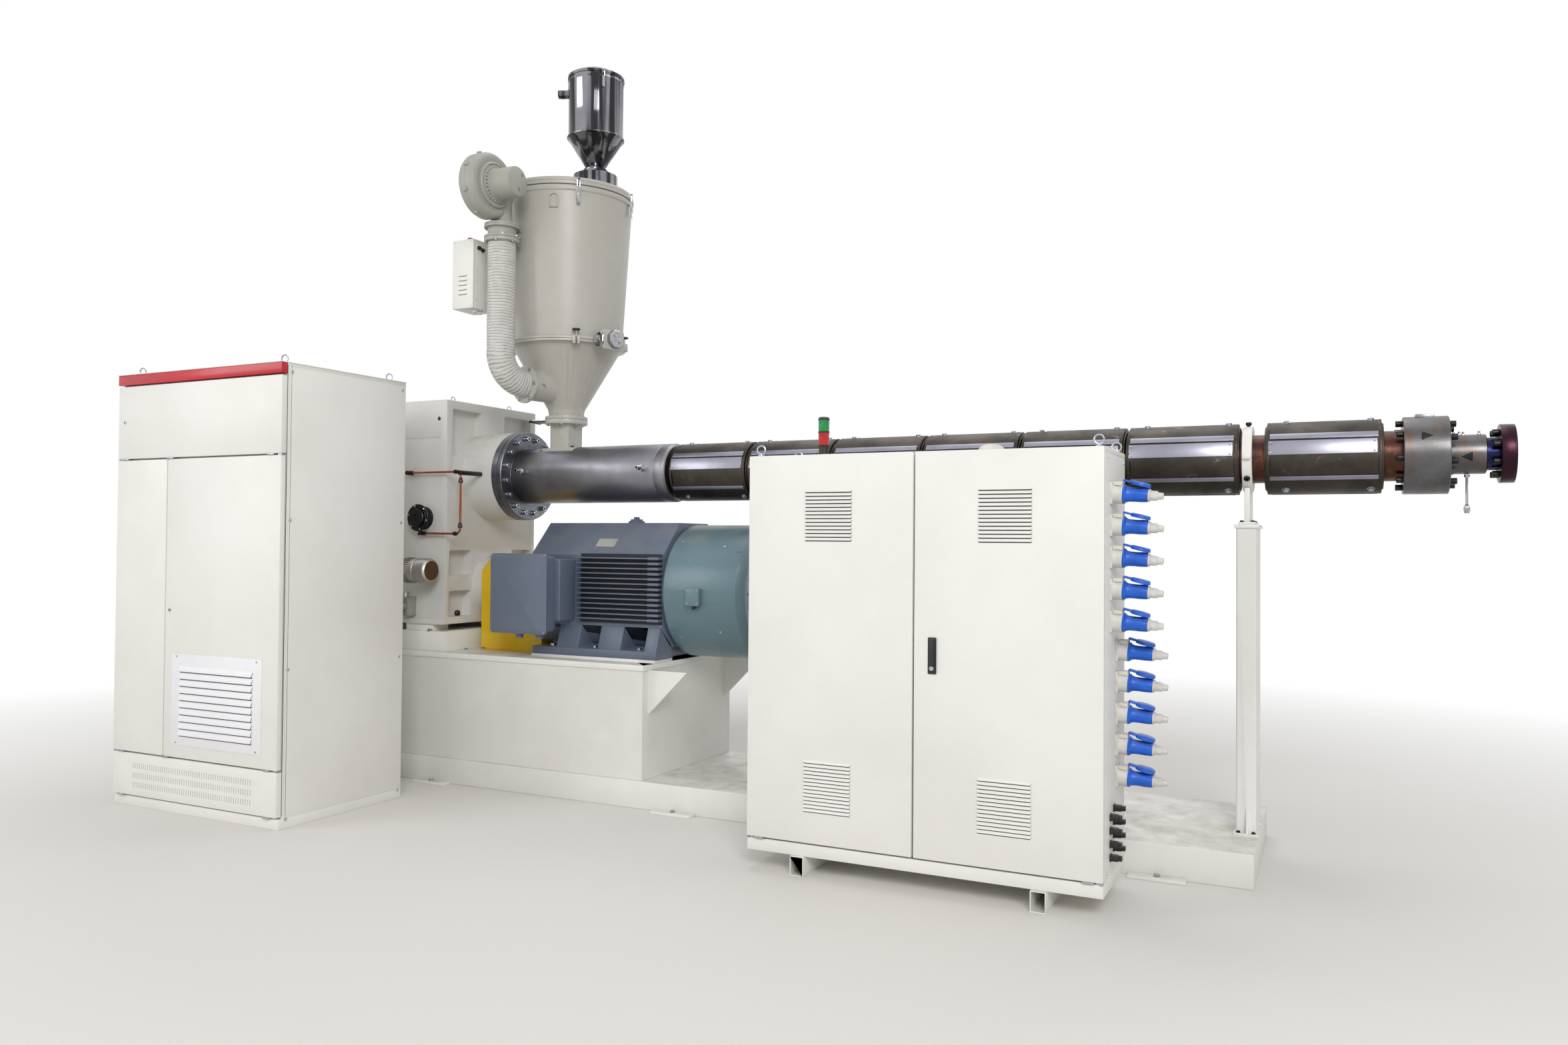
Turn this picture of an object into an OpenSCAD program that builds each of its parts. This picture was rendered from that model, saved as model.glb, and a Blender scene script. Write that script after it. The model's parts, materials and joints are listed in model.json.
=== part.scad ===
// Single-screw plastic extruder: machine bed, gearbox, motor, barrel with heater shrouds, hopper dryer
// with vacuum loader, drive cabinet and control cabinet, all standing on one floor. Millimetres.
// X runs along the barrel from the gearbox face to the outlet, Y = 0 is the plane of the barrel axis,
// -Y is the operator's side and Z = 0 is the floor.

/* [Line] */
// Height of the barrel axis above the floor
barrel_z = 1745; // [1700:5:1800]

/* [Machine bed] */
// Width of the bed
bed_w = 940; // [900:10:1000]
// Length of the bed behind the gearbox face
bed_tail = 1000; // [980:10:1200]
// Length of the tall bed in front of the gearbox face
bed_front = 1400; // [1400:10:1500]
// Height of the tall bed
bed_h = 730; // [700:5:745]
// Thickness of the bed's top plate
bed_top_t = 30; // [15:1:40]
// How far the bed's top plate stands out
bed_lip = 8; // [2:1:15]
// Height of the plinth
plinth_h = 140; // [100:5:200]
// Thickness of the plinth's cover plate
plinth_cover_t = 12; // [6:1:20]
// Width of the plinth's rails and cross members
plinth_rail_w = 120; // [80:5:150]
// Greatest distance between the plinth's cross members
plinth_bay = 560; // [400:10:600]
// Height of the machined pads under the motor's feet
motor_pad_t = 15; // [8:1:30]
// Length of a foot plate
foot_plate_l = 230; // [150:10:300]
// How far a foot plate stands out from the plinth
foot_plate_out = 60; // [40:5:100]
// Thickness of a foot plate
foot_plate_t = 14; // [8:1:25]

/* [Gearbox] */
// Length of the gearbox housing
gear_l = 950; // [850:10:960]
// Width of the gearbox housing
gear_w = 790; // [740:10:860]
// Height of the housing's top above the barrel axis
gear_rise = 425; // [380:5:480]
// Height of the riser under the gearbox
riser_h = 110; // [80:5:130]
// Height of the pads between riser and housing
pad_h = 40; // [20:2:60]
// How far the riser stands out around the housing
riser_out = 20; // [10:1:30]
// Width of the rim around the housing's pockets
gear_rim = 48; // [30:2:70]
// Depth of the housing's pockets
pocket_d = 55; // [20:5:90]
// Corner radius of the housing's pockets
pocket_r = 14; // [6:1:25]
// Half width of the rib between the housing's pockets
gear_rib = 100; // [70:5:130]
// Radius of the round boss that carries the barrel
boss_r = 260; // [240:5:280]
// Length of the boss
boss_l = 210; // [180:5:240]
// Thickness of the barrel flange
flange_t = 70; // [50:2:90]
// Radius of the bearing cap on the input shaft
cap_r = 170; // [150:5:190]
// Thickness of the bearing cap
cap_t = 75; // [40:1:90]

/* [Gearbox oil circuit] */
// Radius of the oil filter's cover
filter_r = 78; // [60:1:95]
// Length of the oil filter's cover
filter_l = 70; // [50:1:90]
// Radius of the oil pump's motor
pump_motor_r = 70; // [55:1:80]
// Length of the oil pump's motor
pump_motor_l = 210; // [180:5:240]
// Radius of the oil pipes
pipe_r = 6; // [4:0.5:8]

/* [Motor] */
// Shaft height of the motor, from its feet to its axis
shaft_h = 355; // [345:1:365]
// Start of the motor's frame along the barrel
motor_x = 620; // [610:5:640]
// Length of the motor's frame
motor_l = 795; // [760:5:800]
// Half width of the motor's frame without its fins
motor_half_w = 315; // [290:5:320]
// Height of the motor's frame above its axis
motor_top = 365; // [350:5:380]
// Number of cooling fins on each side
fin_count = 13; // [8:1:16]
// Depth of a cooling fin
fin_d = 45; // [30:1:60]
// Thickness of a cooling fin
fin_t = 7; // [4:1:10]
// Distance between cooling fins
fin_pitch = 27; // [20:1:28]
// Thickness of the motor's feet
foot_t = 42; // [30:1:50]
// Half width over the motor's feet
feet_half_w = 355; // [340:5:370]
// Radius of the fan cowl
cowl_r = 355; // [345:5:370]
// Length of the fan cowl
cowl_l = 490; // [420:10:520]
// Number of slots in one row of the cowl's grille
cowl_slots = 24; // [12:1:32]
// Width of the terminal box
box_w = 380; // [340:5:420]
// Height of the terminal box
box_h = 430; // [380:5:460]
// Depth of the terminal box
box_d = 105; // [80:5:130]
// Distance of the terminal box's face from the motor's axis
box_reach = 550; // [530:5:580]

/* [Coupling guard] */
// Half width of the coupling guard
guard_half_w = 200; // [160:5:200]
// Height of the coupling guard over its bed
guard_h = 520; // [490:5:560]
// Bevel along the guard's upper edges
guard_bevel = 60; // [20:5:90]

/* [Barrel] */
// Radius of the feed section
feed_r = 162; // [150:1:175]
// Length of the feed section
feed_l = 1035; // [980:5:1060]
// Radius of the barrel tube
tube_r = 105; // [95:1:115]
// Number of heated zones before the clamp
zone_count = 6; // [4:1:6]
// Distance from zone to zone
zone_pitch = 478; // [474:1:482]
// Length of a heater shroud
zone_l = 458; // [450:1:462]
// Radius over a heater shroud
zone_r = 155; // [145:1:165]
// Gap from the feed section to the first shroud
zone_gap = 30; // [15:1:50]
// Length of the last shroud, beyond the clamp
last_zone_l = 436; // [428:1:440]
// Free length of barrel at the clamp
clamp_bay = 114; // [110:1:120]
// Distance from the clamp's middle to the last shroud
clamp_back = 77; // [70:1:78]
// Thickness of a shroud's light panels
panel_t = 3; // [2:0.5:5]

/* [Barrel post] */
// Thickness of the post along the barrel
post_t = 80; // [60:5:90]
// Width of the post across the barrel
post_w = 300; // [220:10:360]
// Height of the post's top below the barrel axis
post_drop = 288; // [270:2:320]
// Thickness of the clamp ring
clamp_t = 40; // [30:1:50]
// Width of the clamp ring's wall
clamp_wall = 38; // [28:1:45]
// Thickness of the clamp's stem
stem_t = 22; // [16:1:30]
// Width of the clamp's stem
stem_w = 200; // [150:5:220]

/* [Outlet] */
// Free length of barrel before the outlet ring
outlet_gap = 77; // [70:1:90]
// Radius of the outlet ring
ring_r = 160; // [150:1:175]
// Length of the outlet ring
ring_l = 165; // [140:5:190]
// Radius of the adapter
adapter_r = 80; // [75:1:95]
// Length of the adapter
adapter_l = 130; // [110:5:160]
// Radius of the adapter's neck
neck_r = 66; // [60:1:72]
// Length of the adapter's neck
neck_l = 45; // [35:1:60]
// Radius of the outlet flange
outlet_r = 118; // [108:1:130]
// Thickness of the outlet flange
outlet_t = 52; // [40:1:60]
// Radius of the melt channel
melt_r = 30; // [20:1:40]
// Radius of the bolt circle on the outlet flange
outlet_bolt_circle_r = 90; // [85:1:95]
// Radius of a bolt hole in the outlet flange
outlet_hole_r = 9; // [7:0.5:11]
// Number of bolt holes in the outlet flange
outlet_holes = 8; // [6:1:10]

/* [Hopper dryer] */
// Distance of the hopper's axis from the start of the feed section
hopper_offset = 264; // [220:2:300]
// Side of the square throat
throat_w = 130; // [110:2:150]
// Wall of the throat
throat_wall = 15; // [10:1:20]
// Height of the throat
throat_h = 140; // [110:5:170]
// Thickness of the throat's plate on the barrel
throat_plate_t = 20; // [14:1:30]
// Radius of the flanges around the slide gate
gate_flange_r = 122; // [110:1:130]
// Thickness of the slide gate
gate_t = 6; // [4:0.5:8]
// Clearance around the slide gate
gate_clear = 0.5; // [0.3:0.1:1]
// Radius of the cone's mouth
cone_r = 105; // [90:1:112]
// Height of the cone
cone_h = 366; // [300:2:400]
// Height of the neck under the cone
cone_neck_h = 40; // [30:1:60]
// Radius of the drum at its foot
drum_foot_r = 318; // [290:2:330]
// Radius of the drum at its top
drum_top_r = 366; // [350:2:380]
// Height of the drum
drum_h = 834; // [760:2:960]
// Wall of the insulated drum and cone
drum_wall = 32; // [20:1:40]
// How far the ring flange stands out from the drum's foot
ring_out = 20; // [12:1:28]
// Height of the lid's rim
lid_rim_h = 44; // [30:1:60]
// How far the lid's rim stands out from the drum
lid_out = 10; // [5:1:16]

/* [Dryer blower and duct] */
// Radius of the blower's housing
blower_r = 175; // [160:1:180]
// Width of the blower's housing
blower_w = 110; // [90:2:130]
// Radius of the blower's motor
blower_motor_r = 80; // [65:1:90]
// Radius of the hot air duct
duct_r = 75; // [60:1:80]
// Bend radius of the duct's elbow
duct_bend = 160; // [140:5:180]
// Distance of the duct from the hopper's axis
duct_reach = 463; // [460:1:475]
// Distance of the blower's axis from the duct's axis
blower_offset = 115; // [110:1:130]
// Height of the duct's inlet above the ring flange
duct_top = 540; // [480:10:600]

/* [Vacuum loader] */
// Radius of the loader
loader_r = 160; // [140:2:180]
// Height of the loader's drum
loader_h = 345; // [300:5:420]
// Height of the loader's cone
loader_cone_h = 190; // [160:5:240]
// Radius of the loader's mouth
loader_mouth_r = 55; // [45:1:70]
// Wall of the loader
loader_wall = 6; // [4:1:8]
// Height of the loader's seat on the hopper's lid
loader_seat_h = 140; // [120:5:200]

/* [Drive cabinet] */
// Position of the drive cabinet's right side
drive_right = 135; // [100:5:160]
// Distance of the drive cabinet's front from the barrel axis
drive_front = 1630; // [1600:10:1700]
// Width of the drive cabinet
drive_w = 1200; // [1100:10:1300]
// Depth of the drive cabinet
drive_d = 780; // [700:10:800]
// Height of the drive cabinet
drive_h = 2200; // [2150:10:2300]
// Height of the drive cabinet's base
drive_base_h = 50; // [40:5:80]
// Height of the slotted panel above the base
slot_panel_h = 212; // [180:2:240]
// Height of the lower doors
drive_door_h = 1480; // [1400:10:1500]
// Width of the narrow door
narrow_door_w = 385; // [340:5:420]
// Height of the header over the upper door
header_h = 55; // [40:1:70]
// Number of blades in the large louvre
louvre_blades = 10; // [6:1:12]

/* [Control cabinet] */
// Position of the control cabinet's left side
control_left = 2354; // [2340:2:2380]
// Distance of the control cabinet's front from the barrel axis
control_front = 1130; // [1110:5:1200]
// Width of the control cabinet
control_w = 1460; // [1430:10:1470]
// Depth of the control cabinet
control_d = 450; // [400:5:460]
// Height of the control cabinet over its feet
control_h = 1650; // [1600:5:1750]
// Height of the feet under the control cabinet
control_foot_h = 80; // [60:2:100]
// Height of the plinth strip under the doors
strip_h = 50; // [40:1:70]
// Number of sockets in each of the two rows
sockets_in_row = 5; // [3:1:5]
// Distance between sockets
socket_pitch = 120; // [115:1:125]
// Radius of a plug
plug_r = 29; // [24:1:32]
// Length of a plug's body
plug_l = 94; // [80:1:110]

/* [Cabinet sheet work] */
// Thickness of a cabinet's folded panels
panel_fold = 20; // [12:1:25]
// Thickness of a door leaf
leaf_t = 25; // [20:1:30]
// Gap between a door leaf and the frame behind it
leaf_gap = 6; // [5:0.5:8]
// Gap between neighbouring doors and panels
door_gap = 8; // [6:0.5:12]
// Width of the bars of a cabinet's front frame
frame_bar = 40; // [30:1:50]
// Radius of a hinge pin
hinge_r = 3; // [2:0.5:4]
// Length of a hinge pin inside its leaf
pin_l = 12; // [8:1:20]

/* [Hidden] */
$fn = 96;
seat = 0.3; // running and seating gap between close faces
cut = 1; // overrun of a cutting solid
corner_r = 8; // corner radius of square tube

plinth_x0 = -bed_tail;
feed_x = boss_l + flange_t;
barrel_x = feed_x + feed_l;
zone_x = barrel_x + zone_gap;
last_zone_x = zone_x + zone_count * zone_pitch - (zone_pitch - zone_l) + clamp_bay;
clamp_x = last_zone_x - clamp_back;
plinth_x1 = clamp_x + post_t / 2 + 10;
ring_x = last_zone_x + last_zone_l + outlet_gap;
adapter_x = ring_x + ring_l;
outlet_x = adapter_x + adapter_l + neck_l;
foot_plate_x = [-bed_tail + 30, -100, bed_front + 85, clamp_x - 430];

gear_z0 = bed_h + riser_h + pad_h;
gear_z1 = barrel_z + gear_rise;
shaft_z = bed_h + motor_pad_t + shaft_h;
motor_foot_x0 = motor_x - 20;
motor_foot_x1 = motor_x + motor_l - 15;

hopper_x = feed_x + hopper_offset;
feed_flat = feed_r - 27;
throat_z = barrel_z + feed_flat;
gate_z = throat_z + throat_plate_t + throat_h;
gate_flange_t = 26;
gate_half_w = throat_w / 2 - throat_wall + 6;
gate_slot_h = gate_t + 2 * gate_clear;
cone_flange_z = gate_z + gate_flange_t;
cone_flange_t = 18;
cone_z = cone_flange_z + cone_flange_t + cone_neck_h;
ring_z = cone_z + cone_h;
ring_t = 16;
drum_z = ring_z + ring_t;
lid_z = drum_z + drum_h;

// Outer radius of the drum at a height, just over the real one so that a bracket never cuts into it
function drum_r(z) = drum_foot_r + (drum_top_r - drum_foot_r) * (z - drum_z) / (drum_h - 22);

lid_top_z = lid_z + lid_rim_h;
lid_crown = 26;

duct_angle = -104;
duct_x = hopper_x + duct_reach * cos(duct_angle);
duct_y = duct_reach * sin(duct_angle);
stub_z = cone_z + 120;
duct_z0 = stub_z + duct_bend;
duct_z1 = ring_z + duct_top;
blower_neck_h = 80; // from the duct's flange to the blower's own flange
blower_z = duct_z1 + blower_neck_h + 184;

duct_flange_r = duct_r + 22;
blower_y = duct_y - blower_offset;
blower_x0 = duct_x - blower_w / 2 - 12;

loader_x = hopper_x + 100;
loader_y = 120;
loader_seat_z = lid_top_z + lid_crown + seat;
loader_cone_z = loader_seat_z + loader_seat_h;
loader_z = loader_cone_z + loader_cone_h;

drive_left = drive_right - drive_w;
drive_y0 = -drive_front;
drive_y1 = drive_y0 + drive_d;
drive_frame_y = drive_y0 + leaf_t + leaf_gap;
slot_panel_z = drive_base_h + door_gap;
drive_door_z = slot_panel_z + slot_panel_h + door_gap;
upper_door_z = drive_door_z + drive_door_h + door_gap + seat;
drive_roof_z = drive_h - panel_fold;
upper_door_top = drive_h - header_h - door_gap;
split_x = drive_left + narrow_door_w + door_gap / 2;

control_right = control_left + control_w;
control_y0 = -control_front;
control_y1 = control_y0 + control_d;
control_frame_y = control_y0 + leaf_t + leaf_gap;
control_z0 = control_foot_h;
control_z1 = control_z0 + control_h;
control_door_z = control_z0 + strip_h + door_gap;
control_door_top = control_z1 - panel_fold - door_gap;
control_split_x = control_left + control_w / 2;
pin_in = 6; // distance of a hinge axis from the faces of its leaf

// A box given by its two corners
module block(low, high) {
    translate(low) cube(high - low);
}

// A rod along X, from x0 to x1, about the point (y, z)
module rod_x(x0, x1, r, y = 0, z = 0) {
    translate([x0, y, z]) rotate([0, 90, 0]) cylinder(h = x1 - x0, r = r);
}

// A ring along X about the barrel axis
module barrel_ring(x0, x1, r_out, r_in) {
    difference() {
        rod_x(x0, x1, r_out, 0, barrel_z);
        rod_x(x0 - cut, x1 + cut, r_in, 0, barrel_z);
    }
}

// A rectangle with round corners, centred
module round_rect(w, h, r) {
    square([w - 2 * r, h], center = true);
    square([w, h - 2 * r], center = true);
    for (sx = [-1, 1], sy = [-1, 1])
        translate([sx * (w / 2 - r), sy * (h / 2 - r)]) circle(r = r);
}

// A pocket cut into a face that looks along +X, given by its corners in Y and Z
module pocket_x(x, low, high, depth) {
    translate([x - depth, (low[0] + high[0]) / 2, (low[1] + high[1]) / 2])
        rotate([90, 0, 90])
            linear_extrude(depth + cut) round_rect(high[0] - low[0], high[1] - low[1], pocket_r);
}

// Machine bed

module bed_plinth() {
    inner_l = plinth_x1 - plinth_x0 - plinth_rail_w;
    bays = ceil(inner_l / plinth_bay);
    bay = inner_l / bays;
    pocket_w = (bed_w - 3 * plinth_rail_w) / 2;
    color("gainsboro") difference() {
        block([plinth_x0, -bed_w / 2, 0], [plinth_x1, bed_w / 2, plinth_h]);
        for (i = [0:bays - 1], side = [-1, 1]) {
            x = plinth_x0 + plinth_rail_w + i * bay;
            y = side * (plinth_rail_w + pocket_w) / 2;
            block([x, y - pocket_w / 2, -cut],
                  [x + bay - plinth_rail_w, y + pocket_w / 2, plinth_h - plinth_cover_t]);
        }
    }
}

module bed_box() {
    half = bed_w / 2 - bed_lip;
    color("whitesmoke") {
        block([plinth_x0 + bed_lip, -half, plinth_h], [bed_front - bed_lip, half, bed_h - bed_top_t]);
        block([plinth_x0, -bed_w / 2, bed_h - bed_top_t], [bed_front, bed_w / 2, bed_h]);
        for (side = [-1, 1])
            block([motor_foot_x0 - 5, side * (feet_half_w - 85) - 90, bed_h - cut],
                  [motor_foot_x1 - 5, side * (feet_half_w - 85) + 90, bed_h + motor_pad_t]);
        for (side = [-1, 1])
            translate([bed_front - bed_lip, side * (half - 60) + 8, 0])
                rotate([90, 0, 0])
                    linear_extrude(16)
                        polygon([[-cut, bed_h - bed_top_t], [230, bed_h - bed_top_t], [-cut, 470]]);
    }
}

module foot_plates() {
    color("gainsboro")
        for (x = foot_plate_x, side = [-1, 1]) {
            y = side * (bed_w / 2 + foot_plate_out / 2);
            block([x, y - foot_plate_out / 2, 0], [x + foot_plate_l, y + foot_plate_out / 2, foot_plate_t]);
        }
}

// Gearbox

module gearbox_riser() {
    x0 = -gear_l - riser_out;
    half = gear_w / 2 + riser_out;
    pad_l = 200;
    pad_w = 130;
    color("whitesmoke") {
        block([x0, -half, bed_h], [riser_out, half, bed_h + riser_h]);
        for (x = [-gear_l + 30, -gear_l / 2 - pad_l / 2, -pad_l - 90], side = [-1, 1]) {
            y = side * (gear_w / 2 - pad_w / 2);
            block([x, y - pad_w / 2, bed_h + riser_h - cut], [x + pad_l, y + pad_w / 2, gear_z0]);
        }
    }
}

module gearbox_housing() {
    half = gear_w / 2;
    shelf_z = barrel_z + 105;
    top_z = gear_z1 - gear_rim;
    low_z = gear_z0 + 40;
    seam_z = barrel_z + 205;
    color("whitesmoke") difference() {
        union() {
            block([-gear_l, -half, gear_z0], [0, half, gear_z1]);
            rod_x(-cut, boss_l, boss_r, 0, barrel_z);
            rod_x(-cut, cap_t, cap_r, 0, shaft_z);
            for (side = [-1, 1])
                block([-gear_l, side * half - 12, gear_z0], [0, side * half + 12, gear_z0 + 30]);
        }
        for (side = [-1, 1]) {
            near = side * gear_rib;
            far = side * (half - gear_rim);
            y0 = min(near, far);
            y1 = max(near, far);
            difference() {
                pocket_x(0, [y0, shelf_z], [y1, top_z], pocket_d);
                rod_x(-pocket_d - 2 * cut, 2 * cut, boss_r, 0, barrel_z);
            }
            edge0 = min(side * (half - gear_rim + 15), side * (cap_r + 10));
            edge1 = max(side * (half - gear_rim + 15), side * (cap_r + 10));
            pocket_x(0, [edge0, low_z + 240], [edge1, low_z + 385], pocket_d);
            pocket_x(0, [edge0, low_z], [edge1, low_z + 150], pocket_d);
            block([-gear_l - cut, side * half - 3, seam_z], [-gear_rim, side * half + 3, seam_z + 4]);
        }
    }
}

module barrel_flange() {
    color("dimgray")
        translate([boss_l, 0, barrel_z])
            rotate([0, 90, 0])
                rotate_extrude()
                    polygon([[0, 0], [boss_r, 0], [boss_r, flange_t - 5], [boss_r - 5, flange_t], [0, flange_t]]);
}

filter_x = -160;
union_r = 13;

module oil_filter() {
    x = filter_x;
    z = barrel_z - 255;
    y = -gear_w / 2;
    color("darkslategray") {
        translate([x, y, z])
            rotate([90, 0, 0])
                rotate_extrude()
                    polygon([[0, 0], [filter_r - 12, 0], [filter_r - 12, filter_l - 25], [filter_r, filter_l - 22],
                             [filter_r, filter_l - 6], [filter_r - 20, filter_l], [filter_r - 22, filter_l - 6],
                             [0, filter_l - 6]]);
        translate([x, y - filter_l / 2, z - filter_r - 22]) cylinder(h = 38, r = union_r);
    }
}

pump_y = -gear_w / 2 - 105;
pump_z = gear_z0 + 310;

module oil_pump_motor() {
    color("silver") {
        rod_x(-pump_motor_l, 0, pump_motor_r, pump_y, pump_z);
        for (x = [-pump_motor_l + 40:12:-95])
            rod_x(x, x + 4, pump_motor_r + 6, pump_y, pump_z);
        block([-150, pump_y, pump_z - 30], [-90, -gear_w / 2, pump_z + 30]);
    }
}

module oil_gear_pump() {
    x = -260;
    z = gear_z0 + 100;
    y = -gear_w / 2;
    color("silver") {
        block([x - 45, y - 70, z - 55], [x + 45, y, z + 55]);
        translate([x, y - 70 + cut, z]) rotate([90, 0, 0]) cylinder(h = 16, r = 34);
        translate([x, y - 40, z + 55 - cut]) cylinder(h = 26, r = 20);
    }
}

// A quarter bend of pipe in a plane, about the origin, from +X towards +Y
module pipe_bend(bend_r, r) {
    rotate_extrude(angle = 90) translate([bend_r, 0]) circle(r = r);
}

module oil_pipes() {
    bend = 30;
    x = 135;
    y = -gear_w / 2 - 30;
    top = barrel_z;
    low = barrel_z - 345;
    x_back = -260;
    color("chocolate") {
        translate([x, -boss_r - seat, top]) rotate([90, 0, 0]) cylinder(h = -boss_r - seat - y + union_r, r = union_r);
        translate([x, y, low + bend]) cylinder(h = top - low - bend, r = pipe_r);
        translate([x - bend, y, low + bend]) rotate([-90, 0, 0]) pipe_bend(bend, pipe_r);
        rod_x(filter_x + union_r + seat, x - bend, pipe_r, y, low);
        rod_x(x_back, x, pipe_r, y, top + pipe_r);
        translate([x_back, -gear_w / 2 - seat, top + pipe_r])
            rotate([90, 0, 0]) cylinder(h = -gear_w / 2 - seat - y + union_r, r = union_r);
    }
}

// Motor

module motor_body() {
    x1 = motor_x + motor_l;
    foot_z = shaft_z - shaft_h;
    fin_z = 12 - (fin_count - 1) * fin_pitch / 2;
    fin_x = motor_x + 270;
    hood_x = motor_x - 65;
    color("slategray") {
        translate([hood_x, 0, shaft_z])
            rotate([90, 0, 90])
                linear_extrude(x1 - hood_x)
                    polygon([[-150, motor_top], [150, motor_top], [motor_half_w, 190], [motor_half_w, -190],
                             [215, -290], [-215, -290], [-motor_half_w, -190], [-motor_half_w, 190]]);
        rod_x(motor_x - 75, motor_x, motor_half_w - 10, 0, shaft_z);
        for (i = [0:fin_count - 1], side = [-1, 1]) {
            z = shaft_z + fin_z + i * fin_pitch;
            y = side * (motor_half_w + fin_d / 2 - cut);
            block([fin_x, y - fin_d / 2, z - fin_t / 2], [x1, y + fin_d / 2, z + fin_t / 2]);
        }
        for (side = [-1, 1]) {
            y = side * (feet_half_w - 85);
            block([motor_foot_x0, y - 85, foot_z], [motor_foot_x1, y + 85, foot_z + foot_t]);
            for (rib = [[motor_foot_x0 + 160, 140], [motor_foot_x0 + 430, 145], [motor_foot_x1 - 75, 75]])
                translate([rib[0] + rib[1], 0, 0])
                    rotate([90, 0, -90])
                        linear_extrude(rib[1])
                            polygon([[-side * 190, shaft_z - 250], [-side * (motor_half_w - 4), shaft_z - 186],
                                     [-side * (feet_half_w - 4), foot_z + foot_t - cut],
                                     [-side * 190, foot_z + foot_t - cut]]);
        }
        block([motor_foot_x0 + 10, -190, foot_z + 4], [motor_foot_x1 - 20, 190, shaft_z - 280]);
    }
}

module motor_fan_cowl() {
    x0 = motor_x + motor_l;
    grille_t = 4;
    slot_w = 12;
    hub_r = 70;
    color("cadetblue") difference() {
        translate([x0, 0, shaft_z])
            rotate([0, 90, 0])
                rotate_extrude()
                    polygon([[0, 0], [cowl_r - 25, 0], [cowl_r, 30], [cowl_r, cowl_l - 40], [cowl_r - 30, cowl_l],
                             [0, cowl_l]]);
        for (i = [0:cowl_slots - 1], ring = [0:2])
            translate([x0 + cowl_l - grille_t, 0, shaft_z])
                rotate([i * 360 / cowl_slots, 0, 0])
                    block([0, -slot_w / 2, hub_r + ring * 80], [grille_t + cut, slot_w / 2, hub_r + ring * 80 + 66]);
    }
    color("cadetblue") block([x0 + 180, -cowl_r - 25, shaft_z - 60], [x0 + 255, -cowl_r + 14, shaft_z + 25]);
}

module motor_terminal_box() {
    x0 = motor_x - 165;
    z0 = shaft_z - 235;
    face = -box_reach;
    color("slategray") {
        translate([x0 + box_w / 2, face + 22, z0 + box_h / 2])
            rotate([90, 0, 0])
                linear_extrude(22) round_rect(box_w, box_h, 18);
        translate([x0 + box_w / 2, face + box_d, z0 + box_h / 2])
            rotate([90, 0, 0])
                linear_extrude(box_d - 21) round_rect(box_w - 24, box_h - 24, 24);
        block([motor_x + cut, face + box_d - cut, z0 + 70], [x0 + box_w + 20, -motor_half_w, z0 + box_h - 30]);
        for (x = [x0 + 165, x0 + 300])
            translate([x, face + 60, z0 - 26]) cylinder(h = 42, r = 24);
    }
}

module coupling_guard() {
    x0 = cap_t + 25;
    x1 = motor_x - 80;
    color("gold") {
        translate([x0, 0, bed_h])
            rotate([90, 0, 90])
                linear_extrude(x1 - x0)
                    polygon([[-guard_half_w, 0], [guard_half_w, 0], [guard_half_w, guard_h - guard_bevel],
                             [guard_half_w - guard_bevel, guard_h], [guard_bevel - guard_half_w, guard_h],
                             [-guard_half_w, guard_h - guard_bevel]]);
        block([x0, -guard_half_w - 30, bed_h], [x1, guard_half_w + 30, bed_h + 5]);
    }
}

// Barrel

module feed_section() {
    groove = 3;
    seam = feed_l - 70;
    color("silver") difference() {
        translate([feed_x, 0, barrel_z])
            rotate([0, 90, 0])
                rotate_extrude()
                    polygon([[0, 0], [feed_r, 0], [feed_r, seam], [feed_r - groove, seam + 1],
                             [feed_r - groove, seam + 4], [feed_r, seam + 5], [feed_r, feed_l - 12],
                             [feed_r - 12, feed_l], [0, feed_l]]);
        block([hopper_x - throat_w / 2 - 46, -feed_r, throat_z],
              [hopper_x + throat_w / 2 + 46, feed_r, throat_z + 60]);
        block([hopper_x - throat_w / 2 + throat_wall, throat_wall - throat_w / 2, barrel_z + 40],
              [hopper_x + throat_w / 2 - throat_wall, throat_w / 2 - throat_wall, throat_z + cut]);
    }
}

module hose_fittings() {
    color("silver")
        for (x = [feed_x + 75, feed_x + feed_l - 135])
            translate([x, -feed_r - seat, barrel_z + 20])
                rotate([90, 0, 0]) {
                    cylinder(h = 26, r = 20, $fn = 6);
                    cylinder(h = 60, r = 12);
                }
}

module barrel_tube() {
    color("rosybrown") rod_x(barrel_x, ring_x, tube_r, 0, barrel_z);
}

// Corner angles of a shroud's cross-section, measured up from the operator's side
strip_top = 37;
strip_low = 26;
panel_low = 2;
lower_strip_top = -32;
lower_strip_low = -39;

function on_shroud(a, side, grow = 0) = [side * (zone_r + grow) * cos(a), (zone_r + grow) * sin(a)];

// Cross-section of a shroud: round above and below, flat faces on both sides
function shroud_outline() = [
    for (a = [strip_top, strip_low, panel_low, lower_strip_top, lower_strip_low]) on_shroud(a, 1),
    for (a = [-50:-10:-130]) on_shroud(a, 1),
    for (a = [lower_strip_low, lower_strip_top, panel_low, strip_low, strip_top]) on_shroud(a, -1),
    for (a = [130:-10:50]) on_shroud(a, 1)
];

zone_starts = [for (i = [0:zone_count - 1]) zone_x + i * zone_pitch, last_zone_x];

function shroud_l(x) = x == last_zone_x ? last_zone_l : zone_l;

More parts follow.
